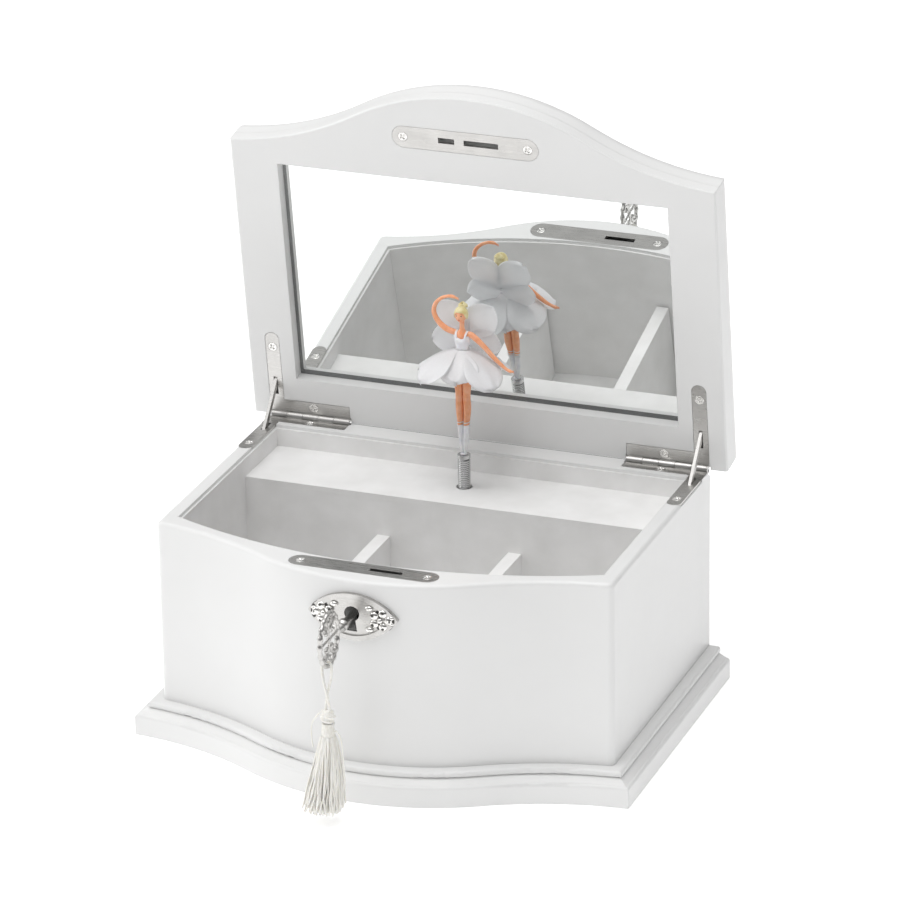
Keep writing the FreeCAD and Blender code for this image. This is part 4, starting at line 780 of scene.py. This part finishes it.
def hair():
    """Combed-back cap: part of an ellipsoid whose edge rises at the forehead, ridged round it. The
    bun is a tube on a shrinking coil."""
    rows, sides = 30, 72
    nape, forehead = -0.55, 0.62
    a = np.linspace(nape, POLE, rows)[:, None]
    b = np.linspace(0, 2 * np.pi, sides, endpoint=False)[None, :]
    front = np.clip(-np.sin(b), 0, 1) ** 2
    lift = np.clip(front * 1.35, 0, 1) * np.clip(1 - (a - nape) / 2.0, 0, 1)
    a = a + (forehead - a) * lift
    ridge = 1 + 0.018 * np.cos(18 * b)
    x = 3.15 * np.cos(a) * np.cos(b) * ridge + HEAD_X
    y = 3.4 * np.cos(a) * np.sin(b) * ridge + DANCER_Y + 0.15
    z = 3.85 * np.sin(a) * ridge + HEAD_Z + 0.1
    cap = patch(np.stack([x, y, z], -1), False, True, True)
    s = np.linspace(0, 1, 90)
    turn = s * 5.2 * np.pi
    size = 1.75 * (1 - 0.72 * s)
    coil_y = DANCER_Y + 2.1 + size * np.sin(turn) * 0.8
    coil_z = HEAD_Z + 3.3 + 1.5 * s + size * np.sin(turn) * 0.35
    coil = np.stack([HEAD_X + size * np.cos(turn), coil_y, coil_z], -1)
    bun = tube(coil, 0.62 - 0.2 * s, 10, lead=(0, 0, 1))
    return merged([cap, bun])


# The skirt's leaves: heading in radians, reach, drop and half width.
PETALS = [(-0.62, 23.0, 10.2, 8.6), (1.02, 22.0, 12.4, 9.6), (2.15, 21.5, 10.6, 9.8),
          (3.45, 22.0, 11.0, 10.0), (4.55, 22.0, 10.4, 9.8), (0.2, 16.6, 9.6, 9.2),
          (1.6, 17.0, 10.2, 8.4), (2.85, 17.5, 9.8, 8.6), (4.0, 17.5, 9.8, 8.6),
          (5.1, 17.0, 9.8, 8.6)]

# The wings, upper and lower: lean from upright in degrees, length and half width.
WINGS = [(40, 19.5, 8.0), (102, 16.5, 6.8)]


def skirt_petals():
    """Overlapping leaves of net from the waist. Each one's half width rises to its widest two
    thirds of the way out and rounds off, and it is cupped across and waves at the hem."""
    parts = []
    rows, columns = 30, 25
    s = np.linspace(0, 1, rows)[:, None]
    t = np.linspace(-1, 1, columns)[None, :]
    for k, (heading, reach, drop, half) in enumerate(PETALS):
        a = heading - math.pi / 2
        width = half * (0.16 + 0.84 * np.sin(np.pi / 2 * np.clip(s / 0.7, 0, 1)) ** 1.3)
        rounding = 1.0 - np.clip((s - 0.62) / 0.38, 0, 1) ** 2.2
        width = width * np.sqrt(np.clip(rounding, 0.0004, 1))
        radial = WAIST_R + (reach - WAIST_R) * s * (1 - 0.05 * t ** 2)
        side = width * t
        sag = drop * (0.35 * s + 0.65 * s ** 2.0) + 1.7 * t ** 2 * s
        wave = 0.55 * np.sin(2.4 * np.pi * t + 1.3 * k) * s ** 2
        z = WAIST_Z - 0.3 * (k % 5) - sag + wave
        x = radial * np.cos(a) - side * np.sin(a)
        y = radial * np.sin(a) + side * np.cos(a)
        parts.append(patch(np.stack([x, y + DANCER_Y, z], -1)))
    return merged(parts)


def wing_petals():
    """Four round petals behind the shoulders: half width is a raised half sine of the length, cupped."""
    parts = []
    rows, columns = 28, 23
    for side in (-1, 1):
        for lean, length, half in WINGS:
            s = np.linspace(0, 1, rows)[:, None]
            t = np.linspace(-1, 1, columns)[None, :]
            width = half * np.sin(np.pi * (0.02 + 0.97 * s) ** 1.15) ** 0.62
            along = length * s
            across = width * t
            cup = 1.6 * t ** 2 * s - 1.2 * s ** 2 + 0.2 * np.sin(5 * t + 3 * s) * s
            a = math.radians(90 - lean)
            x = side * (along * math.cos(a) - across * math.sin(a))
            z = along * math.sin(a) + across * math.cos(a)
            y = DANCER_Y + 5.4 - cup * 0.8
            parts.append(patch(np.stack([x, y, z + SHOULDER_Z], -1)))
    stud = [(0.4, -0.4), (1.3, -0.3), (1.3, 0.3), (0.4, 0.5)]
    parts.append(lathe(stud, (0, DANCER_Y + 4.2, SHOULDER_Z), 16))
    return merged(parts)


def spring_coil():
    """Close-wound wire: a helix with a round section, between the spindle and the plug."""
    s = np.linspace(0, 1, int(SPRING_TURNS * 26))
    a = 2 * np.pi * SPRING_TURNS * s
    x = SPRING_R * np.cos(a)
    y = DANCER_Y + SPRING_R * np.sin(a)
    path = np.stack([x, y, SPRING_FOOT + SPRING_RISE * s], -1)
    return tube(path, WIRE_R, 10, lead=(0, 0, 1))


add("dancer_legs_painted", legs(), "doll_plastic", "dancer", replaces=("dancer_legs",))
add("dancer_shoes", shoes(), "doll_bodice", "dancer")
add("dancer_bodice_painted", bodice(), "doll_bodice", "dancer", replaces=("dancer_bodice",))
add("dancer_arms_and_chest", arms_and_chest(), "doll_plastic", "dancer",
    replaces=("dancer_arms_and_head",))
add("dancer_face", head(), "doll_plastic", "dancer")
add("dancer_eyes", eyes_and_brows(), "doll_hair", "dancer", EYE)
add("dancer_lips", mouth(), "doll_plastic", "dancer", LIPS)
add("dancer_hair_bun", hair(), "doll_hair", "dancer", replaces=("dancer_hair",))


def thicken(thing, depth):
    """Give an open leaf its real thickness."""
    solid = thing.modifiers.new("thickness", "SOLIDIFY")
    solid.thickness = depth * MM
    solid.offset = 0.0


skirt = add("dancer_petal_skirt", skirt_petals(), "tulle", "dancer", replaces=("tutu",))
thicken(skirt, SKIRT_THICKNESS)
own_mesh(skirt)
petals = add("dancer_wings", wing_petals(), "wing_film", "dancer", replaces=("wings",))
thicken(petals, WING_THICKNESS)
spring = add("dancer_spring_coil", spring_coil(), "steel", None, replaces=("coil_spring",))
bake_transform(spring)


# --- Screw heads ------------------------------------------------------------

SCREW_R = 2.14
SCREW_DOME = 0.17
CROSS_DEPTH = 0.5
CROSS_TURN = 0.35
SCREW_TURN = 0.6
CASE_RIM_Z = 99.5
LID_RIM_Z = 99.9
HINGE = np.array([0.0, 65.5, 99.7])
LID_TURN = math.radians(-82.0)
RIM_SCREWS = [(101.3, 30.6), (-101.3, 30.6), (83.7, 60.3), (-83.7, 60.3),
              (LOCK_X + 29.0, -84.0), (LOCK_X - 29.0, -84.0)]


def opened(points):
    """Points of the closed lid turned about the hinge line to where the lid stands."""
    c, s = math.cos(LID_TURN), math.sin(LID_TURN)
    p = points - HINGE
    return np.stack([p[..., 0], p[..., 1] * c - p[..., 2] * s, p[..., 1] * s + p[..., 2] * c], -1) + HINGE


def cross_screw(x, y, face_z, up):
    """Screw: a turned profile from the point of the shank to the head, whose low dome sinks in a cross
    by smooth steps along two arms."""
    shank_r = [0.1, 0.9, 1.0, 1.0, SCREW_R, SCREW_R]
    shank_z = [-8.0, -6.5, -5.5, -0.65, -0.6, -0.02]
    top_r = SCREW_R * (1 - np.linspace(0.03, 0.998, 20))
    r = np.concatenate([shank_r, top_r])[:, None]
    base = np.concatenate([shank_z, np.zeros(20)])[:, None]
    a = np.linspace(0, 2 * np.pi, 48, endpoint=False)[None, :]
    u = r * np.cos(a + CROSS_TURN)
    v = r * np.sin(a + CROSS_TURN)
    dome = SCREW_DOME * np.sqrt(np.clip(1 - (r / SCREW_R) ** 2, 0, 1))
    arm = 1 / (1 + np.exp((np.minimum(abs(u), abs(v)) - 0.32) / 0.05))
    arm = arm / (1 + np.exp((np.maximum(abs(u), abs(v)) - 1.35) / 0.06))
    on_top = (base > -0.01) * 1.0
    height = base + on_top * (dome - CROSS_DEPTH * arm)
    px = x + u * math.cos(SCREW_TURN) - v * math.sin(SCREW_TURN)
    py = y + (u * math.sin(SCREW_TURN) + v * math.cos(SCREW_TURN)) * up
    return np.stack([px, py, face_z + up * height], -1)


# The screw heads' lighter nickel is a painted highlight.
case_heads = [patch(cross_screw(x, y, CASE_RIM_Z, 1), False, True, True)
              for x, y in RIM_SCREWS]
add("case_screws_crossed", merged(case_heads), "nickel", "case", NICKEL_HIGHLIGHT, replaces=("case_screws",))
lid_heads = [patch(opened(cross_screw(x, y, LID_RIM_Z, -1)), False, True, True)
             for x, y in RIM_SCREWS]
add("lid_screws_crossed", merged(lid_heads), "nickel", "lid", NICKEL_HIGHLIGHT, replaces=("lid_screws",))


STRIP_HALF_L = 104.4
GLASS_Z = 105.9
GLASS_X = (-91.0, 91.0)
GLASS_Y = (-63.4, 45.9)
CLEARANCE = 0.02


def hinge_gap_shade_strip():
    """Thin dark bead of painted shade along the hinge line's crack, standing in for the shadow in the gap
    between lid and case: a small rounded profile carried sideways.
    """
    x = np.linspace(-STRIP_HALF_L, STRIP_HALF_L, 60)
    profile = [(65.51, 98.6), (65.51, 99.68), (65.6, 99.69), (65.68, 99.62), (65.68, 98.7)]
    rows = [[(a, y, z) for y, z in profile] for a in x]
    return patch(np.array(rows), False, True, True)


# Painted shadow in the crack between lid and case along the hinge.
add("hinge_gap_shade_strip", hinge_gap_shade_strip(), "lining", "case", HINGE_GAP_SHADE)


def mirror_edge_shade():
    """Dark strip of painted shade just inside the opening round the glass, standing in for the shadow of
    the recess seen in the mirror, widest at the foot and the left: a wedge profile carried round a
    rectangle.
    """
    # Width of the painted shade on each side of the glass.
    widths = {"left": 1.3, "right": 0.9, "top": 0.7, "foot": 2.0}
    profile = [(0.0, -0.02), (0.0, -0.5), (1.0, -0.12), (1.0, -0.02)]
    rows = []
    for share, drop in profile:
        x0 = GLASS_X[0] + CLEARANCE + share * widths["left"]
        x1 = GLASS_X[1] - CLEARANCE - share * widths["right"]
        y0 = GLASS_Y[0] + CLEARANCE + share * widths["top"]
        y1 = GLASS_Y[1] - CLEARANCE - share * widths["foot"]
        z = GLASS_Z + drop
        rows.append([(x0, y0, z), (x0, y1, z), (x1, y1, z), (x1, y0, z)])
    return patch(opened(np.array(rows)), True, True, False)


# Painted shade round the mirror's edge.
add("mirror_edge_painted_shade", mirror_edge_shade(), "looking_glass", "lid", MIRROR_EDGE_SHADE, smooth=False)


# --- Light ------------------------------------------------------------------

# The surroundings' strength along an axis: (start, stop) of the direction, (low, high) strength.
SKY = [("X", (0.25, -0.85), (0.12, 0.4)), ("Z", (0.35, 0.95), (0.0, 1.0))]
TABLE_SIDES = 48
TABLE_DROP = 0.2
TABLE_GLOW = 0.42


def world():
    """Soft white surroundings: brightest overhead, and brighter at the left than at the right."""
    made = bpy.data.worlds.new("studio")
    made.use_nodes = True
    tree = made.node_tree
    background = tree.nodes["Background"]
    coords = tree.nodes.new("ShaderNodeTexCoord")
    apart = tree.nodes.new("ShaderNodeSeparateXYZ")
    tree.links.new(coords.outputs["Generated"], apart.inputs["Vector"])
    shares = []
    for axis, (start, stop), (low, high) in SKY:
        ranged = tree.nodes.new("ShaderNodeMapRange")
        ranged.interpolation_type = "SMOOTHSTEP"
        ranged.inputs["From Min"].default_value = start
        ranged.inputs["From Max"].default_value = stop
        ranged.inputs["To Min"].default_value = low
        ranged.inputs["To Max"].default_value = high
        tree.links.new(apart.outputs[axis], ranged.inputs["Value"])
        shares.append(ranged.outputs["Result"])
    total = tree.nodes.new("ShaderNodeMath")
    tree.links.new(shares[0], total.inputs[0])
    tree.links.new(shares[1], total.inputs[1])
    tree.links.new(total.outputs["Value"], background.inputs["Strength"])
    background.inputs["Color"].default_value = (1, 1, 1, 1)
    bpy.context.scene.world = made


def floor():
    """Pale table top, a flat disc of rings that glows a little, so that it stays near white."""
    r = np.array([0.001, 0.5, 1.5, 4.0, 9.0])[:, None] * 1000
    a = np.linspace(0, 2 * np.pi, TABLE_SIDES, endpoint=False)[None, :]
    points = np.stack([r * np.cos(a), r * np.sin(a), 0 * r * a - TABLE_DROP], -1)
    s = Shader("pale table")
    s.set(Roughness=0.85, Specular_IOR_Level=0.15)
    s.set(Emission_Color=(1, 1, 1, 1), Emission_Strength=TABLE_GLOW)
    s.tint(s.noise(3, 3), (0.86, 0.86, 0.86), (0.9, 0.9, 0.9))
    s.bump(s.noise(300, 2), 0.0001, 0.1)
    vertices, faces = patch(points, False, True, False)
    faces.append(list(range(TABLE_SIDES))[::-1])
    mesh = bpy.data.meshes.new("table")
    mesh.from_pydata((vertices * MM).tolist(), [], faces)
    mesh.materials.append(s.material)
    table = bpy.data.objects.new("table", mesh)
    bpy.context.scene.collection.objects.link(table)


def softbox(name, place, aim, size, power):
    """Square lamp facing its aim, in metres and watts."""
    data = bpy.data.lights.new(name, "AREA")
    data.shape = "RECTANGLE"
    data.size = size[0]
    data.size_y = size[1]
    data.energy = power
    lamp = bpy.data.objects.new(name, data)
    bpy.context.scene.collection.objects.link(lamp)
    lamp.location = place
    back = Vector(place) - Vector(aim)
    lamp.rotation_euler = back.to_track_quat("Z", "Y").to_euler()


world()
floor()
softbox("key_light", (-1.6, -0.55, 0.9), (0, 0, 0.1), (0.8, 0.8), 5.5)
softbox("top_light", (-0.1, -0.35, 1.7), (0, 0, 0.1), (0.9, 0.9), 7.5)
bpy.context.scene.view_settings.view_transform = "Standard"
